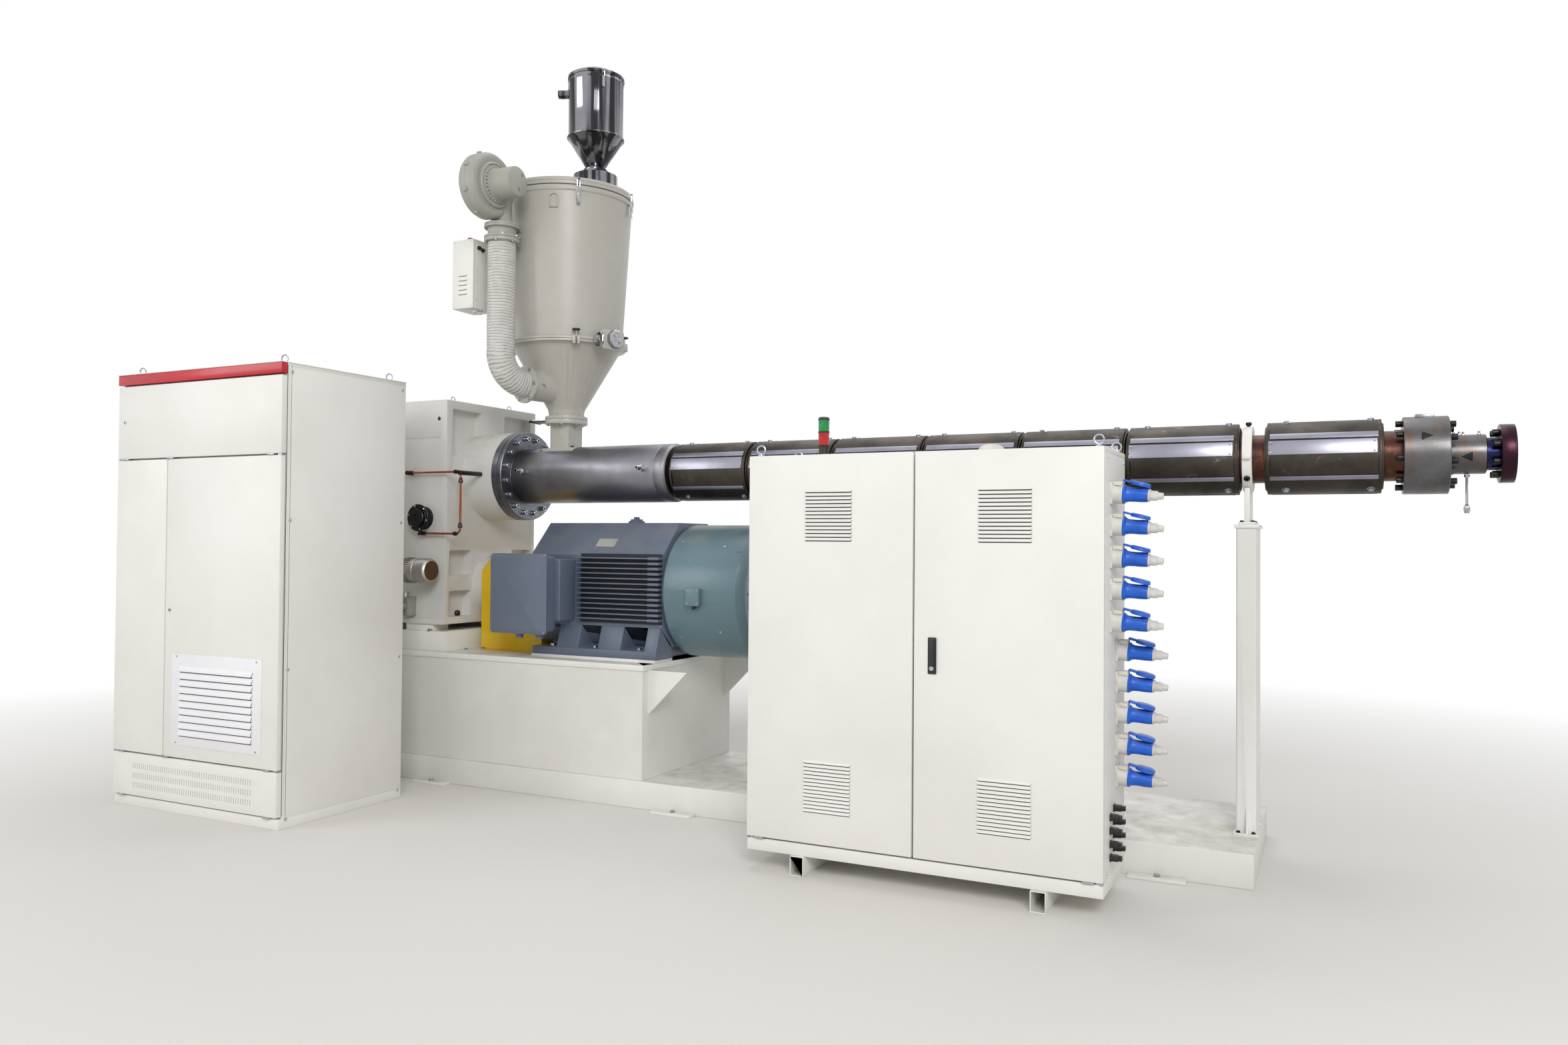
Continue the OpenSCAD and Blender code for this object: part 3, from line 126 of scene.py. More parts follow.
def enamel(name, colour, shade, dirt, dust, speck, rough, grain, relief, rust=None, chip=30):
    # paint over metal: slow tone clouds, dust that settles on upward faces, rust chips where asked
    material, tree, shader, where, normal = startMaterial(name)
    cloud = noise(tree, where, 1.6, 5, 0.6)
    colour = mixed(tree, ranged(tree, cloud, 0.35, 0.7), colour, shade)
    colour = mixed(tree, ranged(tree, noise(tree, where, 240, 2), 0.66, 0.74, 0, speck), colour, dirt)
    settled = ranged(tree, noise(tree, where, 7, 6, 0.65), 0.36, 0.7, 0, dust)
    dust = joined(tree, upwardFaces(tree, normal, 0.5), settled)
    colour = mixed(tree, dust, colour, dirt)
    if rust:
        chips = noise(tree, where, chip, 8, 0.75, 0.3)
        colour = mixed(tree, ranged(tree, chips, rust, rust + 0.03), colour, "6B3A20")
    tree.links.new(colour, shader.inputs["Base Color"])
    roughness = ranged(tree, cloud, 0.3, 0.75, rough - 0.05, rough + 0.07)
    roughness = joined(tree, roughness, joined(tree, dust, roughness), "ADD")
    tree.links.new(roughness, shader.inputs["Roughness"])
    bumped(tree, shader, noise(tree, where, 1000 / grain, 2, 0.5), relief)
    return material


def bareMetal(name, colour, shade, marks, rough, spread, relief, stretch=(1, 1, 1), cloud=6, stain=None,
              stainScale=8, stainFrom=0.6, paintedReflection=None, reflectionStretch=None):
    # metal left bare: tool marks round the turning axis or along the rolling direction, with stains; where
    # asked, painted reflections as dark bands
    material, tree, shader, where, normal = startMaterial(name, metallic=1.0)
    cloud = noise(tree, where, cloud, 6, 0.6, 0.4)
    colour = mixed(tree, ranged(tree, cloud, 0.35, 0.68), colour, shade)
    if stain:
        spots = noise(tree, where, stainScale, 7, 0.7, 0.8)
        colour = mixed(tree, ranged(tree, spots, stainFrom, stainFrom + 0.16, 0, 0.85), colour, stain)
    # painted reflection: dark bands running up and down
    if paintedReflection:
        reflectionBands = noise(tree, where, 1, 3, 0.5, 0.3, reflectionStretch)
        colour = mixed(tree, ranged(tree, reflectionBands, 0.44, 0.54, 0, 0.92), colour, paintedReflection)
    tree.links.new(colour, shader.inputs["Base Color"])
    marks = noise(tree, where, marks, 3, 0.6, 0, stretch)
    roughness = ranged(tree, joined(tree, marks, cloud), 0.12, 0.42, rough - spread, rough + spread)
    tree.links.new(roughness, shader.inputs["Roughness"])
    bumped(tree, shader, marks, relief)
    return material


def moulded(name, colour, shade, rough, grain, relief):
    # injection moulded plastic with a fine grain and handling dust
    material, tree, shader, where, normal = startMaterial(name, ior=1.49)
    cloud = noise(tree, where, 22, 4)
    colour = mixed(tree, ranged(tree, cloud, 0.35, 0.7), colour, shade)
    settled = ranged(tree, noise(tree, where, 40, 5), 0.35, 0.7, 0, 0.4)
    dust = joined(tree, upwardFaces(tree, normal, 0.4), settled)
    tree.links.new(mixed(tree, dust, colour, "A79D8D"), shader.inputs["Base Color"])
    tree.links.new(ranged(tree, cloud, 0.3, 0.7, rough - 0.06, rough + 0.08), shader.inputs["Roughness"])
    bumped(tree, shader, noise(tree, where, 1000 / grain, 2), relief)
    return material


finishes = {
    # welded steel under white enamel: even, faintly wavy, with workshop dust on ledges
    "bed_paint": enamel("enamelledSteelBed", colour="EEEEEA", shade="E3E2DC", dirt="A1927C", dust=0.55,
                        speck=0.25, rough=0.38, grain=2.2, relief=0.00012),
    # cast iron under sprayed enamel: the sand cast skin shows through
    "casting_paint": enamel("enamelledCastIronGearbox", colour="DAD9D6", shade="CBC9C4", dirt="9C8B73",
                            dust=0.7, speck=0.35, rough=0.42, grain=5, relief=0.0005),
    # cast iron under blue-grey machine enamel, chipped down to rust here and there
    "motor_paint": enamel("enamelledCastIronMotor", colour="677183", shade="596376", dirt="A39A8A", dust=0.45,
                          speck=0.3, rough=0.36, grain=4, relief=0.0004, rust=0.7, chip=38),
    # deep-drawn sheet under teal-grey enamel
    "cowl_paint": enamel("enamelledSheetCowl", colour="65808A", shade="587079", dirt="A39A8A", dust=0.4,
                         speck=0.2, rough=0.3, grain=3, relief=0.00015, rust=0.74, chip=30),
    # folded sheet in safety yellow enamel
    "guard_paint": enamel("safetyYellowEnamel", colour="F7CE0A", shade="EABB06", dirt="8C7A55", dust=0.4,
                          speck=0.2, rough=0.33, grain=2.5, relief=0.0001),
    # warm off-white powder coat with a leathery texture
    "hopper_paint": enamel("texturedPowderCoatHopper", colour="BDBBB4", shade="B2AFA7", dirt="9A907F", dust=0.3,
                           speck=0.1, rough=0.33, grain=3.2, relief=0.0003),
    # powder coated aluminium die casting
    "blower_paint": enamel("powderCoatedBlower", colour="ABABA4", shade="9F9E96", dirt="8F8574", dust=0.4,
                           speck=0.2, rough=0.45, grain=2.4, relief=0.00025),
    # fine textured powder coat on cabinet sheet
    "cabinet_paint": enamel("cabinetPowderCoat", colour="ECEBE6", shade="E4E3DD", dirt="A79F90", dust=0.3,
                            speck=0.12, rough=0.44, grain=1.6, relief=0.00012),
    # gloss red enamel over the cabinet's header
    "header_paint": enamel("redGlossEnamel", colour="C8102A", shade="B00C22", dirt="8A6A60", dust=0.2,
                           speck=0.1, rough=0.25, grain=3, relief=0.00006),
    # bronze-grey coated heater cover sheet, slightly rubbed
    "shroud_sheet": bareMetal("bronzedHeaterSheet", colour="4E4842", shade="3C3733", marks=60,
                              stretch=(0.4, 6, 6), rough=0.47, spread=0.09, relief=0.00008, stain="8C8378",
                              stainScale=9, stainFrom=0.62),
    # black finished casting of the oil filter and the slide gate
    "dark_casting": bareMetal("blackenedCasting", colour="3A3A3B", shade="2B2A2A", marks=120, rough=0.4,
                              spread=0.08, relief=0.0002),
    # steel turned on a lathe, cleaned but stained by oil and heat
    "machined_steel": bareMetal("turnedSteel", colour="9A9A9E", shade="7F7E82", marks=90,
        stretch=(18, 0.5, 0.5), rough=0.3, spread=0.1, relief=0.00006, stain="8A6F58", stainScale=8,
        stainFrom=0.6),
    # satin machined feed barrel with a yellow-brown tint of old oil
    "feed_steel": bareMetal("satinMachinedFeed", colour="8E8E95", shade="7C7B81", marks=70,
                            stretch=(14, 0.6, 0.6), rough=0.4, spread=0.08, relief=0.00006, stain="8A7D69",
                            stainScale=3.2, stainFrom=0.56),
    # nitrided steel with temper colours from the heaters
    "tempered_steel": bareMetal("temperedSteel", colour="553A2E", shade="3C2C30", marks=80,
        stretch=(12, 0.6, 0.6), rough=0.34, spread=0.08, relief=0.00008, stain="7C4834", stainScale=14,
        stainFrom=0.52),
    # rolled stainless strip on the heater covers
    "panel_sheet": bareMetal("satinStainlessPanel", colour="9C9CA8", shade="8C8C98", marks=150,
                             stretch=(0.3, 5, 5), rough=0.34, spread=0.06, relief=0.00003, stain="8D8A8C",
                             stainScale=6, stainFrom=0.62),
    # bright chromium plate
    "chrome_plate": bareMetal("chromePlate", colour="B4B4B8", shade="9C9CA2", marks=40, rough=0.1, spread=0.04,
                              relief=0.00001),
    # mirror polished stainless steel with faint dents, and painted dark reflections in upright streaks
    "polished_steel": bareMetal("polishedStainless", colour="9C9CA2", shade="77777D", marks=9,
        stretch=(1, 1, 0.3), rough=0.1, spread=0.04, relief=0.0006, cloud=3, paintedReflection="26262A",
        reflectionStretch=(17, 17, 0.5)),
    # blue zinc plate on small hardware
    "zinc_plate": bareMetal("bluePassivatedZinc", colour="B9BEC6", shade="9CA3AE", marks=120, rough=0.3,
                            spread=0.08, relief=0.00005),
    # bare die cast aluminium
    "bare_aluminium": bareMetal("dieCastAluminium", colour="C4C2BE", shade="ABA8A3", marks=130, rough=0.42,
        spread=0.08, relief=0.00018, stain="77706A", stainScale=18, stainFrom=0.62),
    # drawn copper tube, dulled by handling
    "copper_pipe": bareMetal("drawnCopper", colour="B8633F", shade="8F4A30", marks=90, rough=0.3, spread=0.08,
                             relief=0.00005, stain="4F2A20", stainScale=24, stainFrom=0.6),
    # grey-white polyamide socket housing
    "socket_plastic": moulded("polyamideSocket", colour="DAD8D2", shade="CFCCC4", rough=0.45, grain=0.9,
                              relief=0.00008),
    # blue polyamide plug body
    "plug_plastic": moulded("bluePolyamidePlug", colour="1B66D6", shade="1557BE", rough=0.36, grain=0.9,
                            relief=0.00008),
    # black glass-filled polyamide
    "black_plastic": moulded("blackPolyamide", colour="1E1E1F", shade="262627", rough=0.46, grain=0.8,
                             relief=0.0001),
    # black housing of the stack light
    "lamp_plastic": moulded("blackLampHousing", colour="19191A", shade="212122", rough=0.38, grain=0.8,
                            relief=0.00006),
    # glass-fibre tape wound on the hot air duct
    "duct_wrap": moulded("woundGlassTape", colour="D6D5D1", shade="C8C6C1", rough=0.75, grain=1.2,
                         relief=0.0004),
}
print("materials made:", len(finishes))

for node, piece in cadNodes.items():
    piece.data.materials.clear()
    piece.data.materials.append(finishes[slotOf[node]])

# directions, with the machine's front at -Y
toTop, toFloor = (0, 0, 1), (0, 0, -1)
toRight, toLeft = (1, 0, 0), (-1, 0, 0)
toFront, toBack = (0, -1, 0), (0, 1, 0)

# shapes


def mm(*points):
    # points written in millimetres
    return [tuple(value / 1000 for value in point) for point in points]


def turns(count, start=0.0):
    return [start + 2 * math.pi * i / count for i in range(count)]


def spoke(angle):
    # outward direction round the X axis
    return Vector((0, math.cos(angle), math.sin(angle)))


def bearing(angle):
    # outward direction round the Z axis
    return Vector((math.cos(angle), math.sin(angle), 0))


def placeAt(at, up, along=None):
    # a local frame: Z along up, X as near to along as it can be
    up = Vector(up).normalized()
    along = Vector(along or (toTop if abs(up.z) < 0.9 else toRight))
    side = up.cross(along).normalized()
    return Matrix.Translation(at) @ Matrix((side.cross(up), side, up)).transposed().to_4x4()


def joinRings(bm, low, high):
    return [bm.faces.new([a, b, d, c]) for a, b, c, d in zip(low, low[1:] + low[:1], high, high[1:] + high[:1])]


def addTurned(bm, place, profile, steps=32, start=0.0):
    # (radius, height) points spun round the place's Z axis, up on the outside; a loop where the ends miss it
    rings = []
    for radius, height in profile:
        angles = [0] if radius < 1e-6 else turns(steps, start)
        rings.append([bm.verts.new(place @ Vector((radius * math.cos(a), radius * math.sin(a), height)))
                      for a in angles])
    pairs = list(zip(rings, rings[1:]))
    if len(rings[0]) > 1 and len(rings[-1]) > 1:
        pairs.append((rings[-1], rings[0]))
    for low, high in pairs:
        if len(low) > 1 and len(high) > 1:
            joinRings(bm, low, high)
            continue
        for i in range(steps):
            j = (i + 1) % steps
            bm.faces.new([low[0], high[j], high[i]] if len(high) > 1 else [low[i], low[j], high[0]])


def addPrism(bm, place, outline, height, edge=0.0, segments=2):
    # a flat outline drawn out along the place's Z axis, with all its edges rounded by edge
    foot, top = ([bm.verts.new(place @ Vector((x, y, z))) for x, y in outline] for z in (0, height))
    faces = [bm.faces.new(list(reversed(foot))), bm.faces.new(top)] + joinRings(bm, foot, top)
    if edge:
        for face in faces:
            face.normal_update()
        sharp = {e for f in faces for e in f.edges if e.calc_face_angle(0) > 0.4}
        bmesh.ops.bevel(bm, geom=list(sharp), offset=edge, segments=segments, affect="EDGES", profile=0.5)


def addBlock(bm, low, high, edge=0.001, place=None, segments=2):
    (x0, y0, z0), (x1, y1, z1) = low, high
    base = (place or Matrix()) @ Matrix.Translation((0, 0, z0))
    addPrism(bm, base, [(x0, y0), (x1, y0), (x1, y1), (x0, y1)], z1 - z0, edge, segments)


def addLoft(bm, place, sections):
    # a solid through outlines of equal point count, each moved by its own offset
    rings = [[bm.verts.new(place @ (Vector((x, y, 0)) + Vector(offset))) for x, y in outline]
             for outline, offset in sections]
    bm.faces.new(list(reversed(rings[0])))
    bm.faces.new(rings[-1])
    for low, high in zip(rings, rings[1:]):
        joinRings(bm, low, high)


def addTube(bm, path, radius, sides=10, closed=False):
    # a round bar along a path of points
    points = [Vector(p) for p in path]
    rings = []
    normal = None
    for i, point in enumerate(points):
        before = points[i - 1] if i or closed else point
        after = points[(i + 1) % len(points)] if i < len(points) - 1 or closed else point
        along = (after - before).normalized()
        if normal is None:
            normal = along.orthogonal().normalized()
        normal = (normal - along * normal.dot(along)).normalized()
        side = along.cross(normal)
        rings.append([bm.verts.new(point + radius * (normal * math.cos(a) + side * math.sin(a)))
                      for a in turns(sides)])
    for low, high in list(zip(rings, rings[1:])) + ([(rings[-1], rings[0])] if closed else []):
        joinRings(bm, low, high)
    if not closed:
        bm.faces.new(list(reversed(rings[0])))
        bm.faces.new(rings[-1])


def rounded(points, bend, steps=5):
    # a path whose inner corners are turned into arcs
    points = [Vector(p) for p in points]
    path = [points[0]]
    for before, corner, after in zip(points, points[1:], points[2:]):
        a = corner + (before - corner).normalized() * bend
        b = corner + (after - corner).normalized() * bend
        for k in range(steps + 1):
            t = k / steps
            path.append(a * (1 - t) ** 2 + corner * 2 * t * (1 - t) + b * t ** 2)
    return path + [points[-1]]


def roundRect(width, height, corner, steps=4):
    outline = []
    for turn, (cx, cy) in enumerate(((1, 1), (-1, 1), (-1, -1), (1, -1))):
        for k in range(steps + 1):
            a = math.pi / 2 * (turn + k / steps)
            outline.append((cx * (width / 2 - corner) + corner * math.cos(a),
                            cy * (height / 2 - corner) + corner * math.sin(a)))
    return outline


def linked(name, data):
    made = bpy.data.objects.new(name, data)
    bpy.context.scene.collection.objects.link(made)
    return made


def meshFrom(name, bm):
    mesh = bpy.data.meshes.new(name)
    bm.to_mesh(mesh)
    bm.free()
    return mesh


def closedMesh(name, bm):
    bmesh.ops.recalc_face_normals(bm, faces=bm.faces)
    return meshFrom(name, bm)


def finishMesh(name, mesh, finish, body, replaces=(), smooth=35):
    mesh.materials.clear()
    mesh.materials.append(finish)
    mesh.shade_smooth()
    mesh.set_sharp_from_angle(angle=math.radians(smooth))
    piece = linked(name, mesh)
    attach(piece, body)
    if replaces:
        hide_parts(*replaces)
    return piece


def keepPiece(name, bm, slot, body="machine", replaces=(), finish=None, smooth=35):
    return finishMesh(name, closedMesh(name, bm), finish or finishes[slot], body, replaces, smooth)


def assembled(name, slot, shapes, **kept):
    # one piece from several shapes, each given as its maker and what that needs
    bm = bmesh.new()
    for maker, *sizes in shapes:
        maker(bm, *sizes)
    return keepPiece(name, bm, slot, **kept)


def turned(name, slot, at, axis, profile, steps=48, **kept):
    return assembled(name, slot, [(addTurned, placeAt(at, axis), profile, steps)], **kept)


def evaluated(holder):
    # the plain mesh that an object's modifiers give, with the helper object taken away again
    holder.update_tag()
    bpy.context.view_layer.update()
    mesh = bpy.data.meshes.new_from_object(holder.evaluated_get(bpy.context.evaluated_depsgraph_get()))
    holder.modifiers.clear()
    bpy.data.objects.remove(holder)
    return mesh


def softenEdges(node, width, segments=2, finish=None):
    # folded, cast and turned edges of a CAD node get the small radius that the real ones have
    bm = bmesh.new()
    bm.from_mesh(cadNodes[node].data)
    bmesh.ops.remove_doubles(bm, verts=bm.verts, dist=1e-5)
    bmesh.ops.dissolve_limit(bm, angle_limit=math.radians(0.5), verts=bm.verts, edges=bm.edges)
    holder = linked(node + "Soft", meshFrom(node, bm))
    bevel = holder.modifiers.new("edges", "BEVEL")
    bevel.width = width
    bevel.segments = segments
    bevel.limit_method = "ANGLE"
    bevel.angle_limit = math.radians(32)
    bevel.use_clamp_overlap = True
    slot = slotOf[node]
    return finishMesh(node + "Soft", evaluated(holder), finish or finishes[slot], bodyOf[node], (node,))


def softenAll(widths):
    for node, width in widths.items():
        softenEdges(node, width)


# repeated pieces: Geometry Nodes put a shape on every point, its Z along "aim" and its X along "along"


def startTree(name, sockets, result):
    tree = bpy.data.node_groups.new(name, "GeometryNodeTree")
    for label, kind in sockets.items():
        tree.interface.new_socket(label, in_out="INPUT", socket_type="NodeSocket" + kind)
    tree.interface.new_socket(result, in_out="OUTPUT", socket_type="NodeSocketGeometry")
    return tree, addNode(tree, "NodeGroupInput").outputs


def shapeOf(tree, source):
    return addNode(tree, "GeometryNodeObjectInfo", {"transform_space": "ORIGINAL"},
                   {"Object": source}).outputs["Geometry"]


def aimedTurn(tree):
    aim, along = (addNode(tree, "GeometryNodeInputNamedAttribute", {"data_type": "FLOAT_VECTOR", "Name": label})
                  for label in ("aim", "along"))
    return addNode(tree, "FunctionNodeAxesToRotation", {"primary_axis": "Z", "secondary_axis": "X"},
                   {0: aim.outputs[0], 1: along.outputs[0]}).outputs[0]


def endTree(tree, made, finish):
    real = addNode(tree, "GeometryNodeRealizeInstances", {}, {0: made.outputs[0]})
    dressed = addNode(tree, "GeometryNodeSetMaterial", {}, {"Geometry": real.outputs[0], "Material": finish})
    addNode(tree, "NodeGroupOutput", {}, {0: dressed.outputs[0]})
    return tree


def scatterTree():
    tree, given = startTree("piecesOnPoints", {"Points": "Geometry", "Shape": "Object", "Size": "Float",
        "Spin": "Float", "Seed": "Int", "Finish": "Material"}, "Pieces")
    spin = addNode(tree, "FunctionNodeRandomValue", {"data_type": "FLOAT"},
                   {"Seed": given["Seed"], 3: given["Spin"]})
    twist = addNode(tree, "ShaderNodeCombineXYZ", {}, {"Z": spin.outputs[1]})
    twisted = addNode(tree, "FunctionNodeRotateRotation", {"rotation_space": "LOCAL"},
                      {0: aimedTurn(tree), 1: twist.outputs[0]})
    placed = addNode(tree, "GeometryNodeInstanceOnPoints", {}, {"Points": given["Points"],
        "Instance": shapeOf(tree, given["Shape"]), "Rotation": twisted.outputs[0], "Scale": given["Size"]})
    return endTree(tree, placed, given["Finish"])


def punchTree():
    # holes of one shape through a sheet, one at every point of the Places object
    tree, given = startTree("punchedSheet",
                            {"Sheet": "Geometry", "Places": "Object", "Punch": "Object", "Finish": "Material"},
                            "Punched")
    tools = addNode(tree, "GeometryNodeInstanceOnPoints", {}, {"Points": shapeOf(tree, given["Places"]),
        "Instance": shapeOf(tree, given["Punch"]), "Rotation": aimedTurn(tree)})
    real = addNode(tree, "GeometryNodeRealizeInstances", {}, {0: tools.outputs[0]})
    cut = addNode(tree, "GeometryNodeMeshBoolean", {"operation": "DIFFERENCE", "solver": "EXACT"},
                  {0: given["Sheet"], 1: real.outputs[0]})
    return endTree(tree, cut, given["Finish"])


def runTree(tree, mesh, inputs):
    holder = linked("holder", mesh)
    modifier = holder.modifiers.new("nodes", "NODES")
    modifier.node_group = tree
    sockets = {item.name: item.identifier for item in tree.interface.items_tree if item.in_out == "INPUT"}
    for label, value in inputs.items():
        modifier[sockets[label]] = value
    return evaluated(holder)


def patternShape(name, *shapes):
    # the shape that is repeated; it is taken away before the end
    bm = bmesh.new()
    for maker, *sizes in shapes:
        maker(bm, *sizes)
    patterns[name] = linked(name, closedMesh(name, bm))


def pointCloud(name, spots):
    # spots are (place, aim) or (place, aim, along)
    mesh = bpy.data.meshes.new(name)
    mesh.from_pydata([spot[0] for spot in spots], [], [])
    aims = [Vector(spot[1]).normalized() for spot in spots]
    alongs = [Vector(spot[2]).normalized() if len(spot) > 2 else aim.orthogonal().normalized()
              for spot, aim in zip(spots, aims)]
    for label, values in (("aim", aims), ("along", alongs)):
        mesh.attributes.new(label, "FLOAT_VECTOR", "POINT").data.foreach_set("vector",
            [v for a in values for v in a])
    return mesh


def repeat(name, pattern, spots, slot, body="machine", size=1.0, finish=None, replaces=(), spin=0.0, seed=1):
    finish = finish or finishes[slot]
    made = runTree(scatter, pointCloud(name, spots), {"Shape": patterns[pattern], "Size": float(size),
        "Spin": float(spin), "Seed": seed, "Finish": finish})
    return finishMesh(name, made, finish, body, replaces)


def fasten(name, head, radius, spots, slot, body="machine", seed=1):
    # screws, bolts and rivets, each turned to a chance angle as a fitter leaves them
    return repeat(name, head, spots, slot, body, radius, spin=6.283, seed=seed)


def punched(name, bm, pattern, spots, slot, body="machine", replaces=()):
    places = linked(name + "Places", pointCloud(name + "Places", spots))
    made = runTree(punch, closedMesh(name, bm),
                   {"Places": places, "Punch": patterns[pattern], "Finish": finishes[slot]})
    bpy.data.objects.remove(places)
    return finishMesh(name, made, finishes[slot], body, replaces)


def ring(centre, radius, count, axis, lift=0.0, start=0.0):
    # spots round a bolt circle, all aimed along the axis
    place = placeAt(centre, axis)
    up = Vector(axis).normalized()
    return [(place @ Vector((radius * math.cos(a), radius * math.sin(a), lift)), up)
            for a in turns(count, start)]


# heads of radius 1: a cap with a hexagon socket, a hexagon on a washer, a low dome with a recess, a rivet
patterns = {}
scatter = scatterTree()
punch = punchTree()
patternShape("socket",
             (addTurned, Matrix(),
              [(0, -0.1), (1, -0.1), (1, 1.05), (0.9, 1.2), (0.56, 1.2), (0.5, 0.55), (0, 0.5)], 12))
patternShape("hex",
             (addTurned, Matrix(), [(0, -0.05), (1, -0.05), (1, 0.14), (0.8, 0.18), (0, 0.18)], 12),
             (addTurned, Matrix(), [(0, 0.1), (0.82, 0.1), (0.82, 0.62), (0.7, 0.72), (0, 0.76)], 6))
patternShape("pan",
             (addTurned, Matrix(),
              [(0, -0.05), (1, -0.05), (0.94, 0.28), (0.66, 0.5), (0.3, 0.55), (0.2, 0.3), (0, 0.25)], 12))
patternShape("rivet", (addTurned, Matrix(), [(0, -0.05), (1, -0.05), (0.8, 0.34), (0.4, 0.52), (0, 0.56)], 10))
print("helpers ready")

# drive cabinet: folded sheet panels, pan doors on zinc hinges, a white louvre panel and a slotted base panel

driveCabinet = {"left": -1.065, "right": 0.135, "front": -1.63, "frame": -1.599, "back": -0.85, "top": 2.2,
                "split": -0.676, "doorZ": (0.278, 1.758), "upperZ": (1.7663, 2.137), "slotZ": (0.058, 0.27),
                "sheet": 0.002, "fold": 0.0025, "hinges": (-1.0, -0.655, 0.066)}


def addFolds(bm, x0, x1, z0, z1, front, back, sheet=0.002):
    # the edges of a panel, folded back
    for low, high in (((x0, z0), (x1, z0 + sheet)), ((x0, z1 - sheet), (x1, z1)), ((x0, z0), (x0 + sheet, z1)),
                      ((x1 - sheet, z0), (x1, z1))):
        addBlock(bm, (low[0], front, low[1]), (high[0], back, high[1]), 0.0004)


def addPan(bm, x0, x1, z0, z1, front, depth, sheet, fold):
    addBlock(bm, (x0, front, z0), (x1, front + sheet * 2, z1), fold)
    addFolds(bm, x0, x1, z0, z1, front + sheet, front + depth, sheet)


def pinnedDoor(name, node, x0, x1, z0, z1, front, depth=0.025):
    # a pan door with punched rails on its inside
    rails = [(addBlock, (x, front + 0.004, z0 + 0.05), (x + 0.025, front + depth - 0.004, z1 - 0.05), 0.001)
             for x in (x0 + 0.05, x1 - 0.075)]
    assembled(name, "cabinet_paint", [(addPan, x0, x1, z0, z1, front, depth, 0.002, 0.0022)] + rails,
              body=bodyOf[node], replaces=(node,))


def louvreBlade(width, height, out):
    # a pressed hood: it leaves the sheet at its top, and is open below
    outline = [(0.0, 0.0), (-out, -height * 0.86), (-out, -height), (-out + 0.0015, -height), (0.0018, -0.004)]
    cheek = [(0.001, 0), (-out, -height * 0.86), (-out, -height), (0.001, -height)]
    return [(addPrism, placeAt((x, 0, 0), toRight, toBack), shape, long) for x, shape, long in (
        (-width / 2, outline, width), (-width / 2, cheek, 0.0012), (width / 2 - 0.0012, cheek, 0.0012))]


patternShape("driveBlade", *louvreBlade(0.52, 0.026, 0.009))
patternShape("doorBlade", *louvreBlade(0.206, 0.0095, 0.0055))


# painted shade: a black strip just proud of the sheet under a louvre blade, where the opening behind it lies in
# shade
def paintedShadeSlit(width, height):
    return addBlock, (-width / 2, -0.0004, -height), (width / 2, 0.001, -height * 0.2), 0.0001, None, 1


patternShape("driveSlit", paintedShadeSlit(0.516, 0.034))
patternShape("doorSlit", paintedShadeSlit(0.203, 0.0138))

d = driveCabinet
softenAll({"drive_base": 0.002, "drive_sides": 0.0015, "drive_back": 0.002, "drive_roof": 0.0012,
           "drive_header": 0.0012})
pinnedDoor("narrowDoor", "drive_narrow_door", d["left"], d["split"] - 0.004, *d["doorZ"], d["front"])
pinnedDoor("wideDoor", "drive_wide_door", d["split"] + 0.004, d["right"], *d["doorZ"], d["front"])
assembled("upperDoor", "cabinet_paint",
          [(addPan, d["left"], d["right"], *d["upperZ"], d["front"], 0.03, d["sheet"], d["fold"])],
          replaces=("drive_upper_door",))

louvrePanel = {"x": (-0.614, 0.03), "z": (0.341, 0.792), "top": 0.7315, "pitch": 0.0349, "blades": 10,
               "middle": -0.292}
v = louvrePanel
bm = bmesh.new()
addBlock(bm, (v["x"][0], d["front"] - 0.003, v["z"][0]), (v["x"][1], d["front"] - 0.0002, v["z"][1]), 0.0012)
# a brighter, cooler white than the powder coat around it
keepPiece("louvrePanelSheet", bm, "cabinet_paint", "wide_door", finish=enamel("whiteEnamelLouvre",
    colour="F0EFF2", shade="E7E6EA", dirt="B0A99C", dust=0.3, speck=0.1, rough=0.35, grain=2, relief=0.00008))
rows = [v["top"] - i * v["pitch"] for i in range(v["blades"])]
out = d["front"] - 0.003
repeat("louvreBlades", "driveBlade", [((v["middle"], out, z), toTop, toRight) for z in rows], "cabinet_paint",
       "wide_door", finish=bpy.data.materials["whiteEnamelLouvre"])
# painted shade under each blade, in black
repeat("louvreSlits", "driveSlit", [((v["middle"], out, z + 0.002), toTop, toRight) for z in rows],
       "black_plastic", "wide_door")
corners = [(x, out, z) for x in (v["x"][0] + 0.036, v["x"][1] - 0.036)
           for z in (v["z"][0] + 0.014, v["z"][1] - 0.012)]
fasten("louvreScrews", "pan", 0.0055, [(at, toFront) for at in corners], "zinc_plate", "wide_door")

patternShape("slotPunch", (addBlock, (-0.0021, -0.014, -0.01), (0.0021, 0.014, 0.01), 0))
slotPanel = {"columns": 54, "rows": 3, "x": (-0.902, -0.04), "z": (0.208, 0.112)}
v = slotPanel
spots = [((v["x"][0] + (v["x"][1] - v["x"][0]) * i / (v["columns"] - 1), d["front"] + 0.002,
           v["z"][0] + (v["z"][1] - v["z"][0]) * k / (v["rows"] - 1)), toFront, toRight)
         for i in range(v["columns"]) for k in range(v["rows"])]
bm = bmesh.new()
addBlock(bm, (d["left"], d["front"], d["slotZ"][0]), (d["right"], d["front"] + 0.004, d["slotZ"][1]), 0.0018)
punched("slottedPanel", bm, "slotPunch", spots, "cabinet_paint", replaces=("drive_slot_panel",))
assembled("slottedPanelFolds", "cabinet_paint",
          [(addFolds, d["left"], d["right"], *d["slotZ"], d["front"] + 0.003, d["frame"])],
          replaces=("drive_slot_panel",))


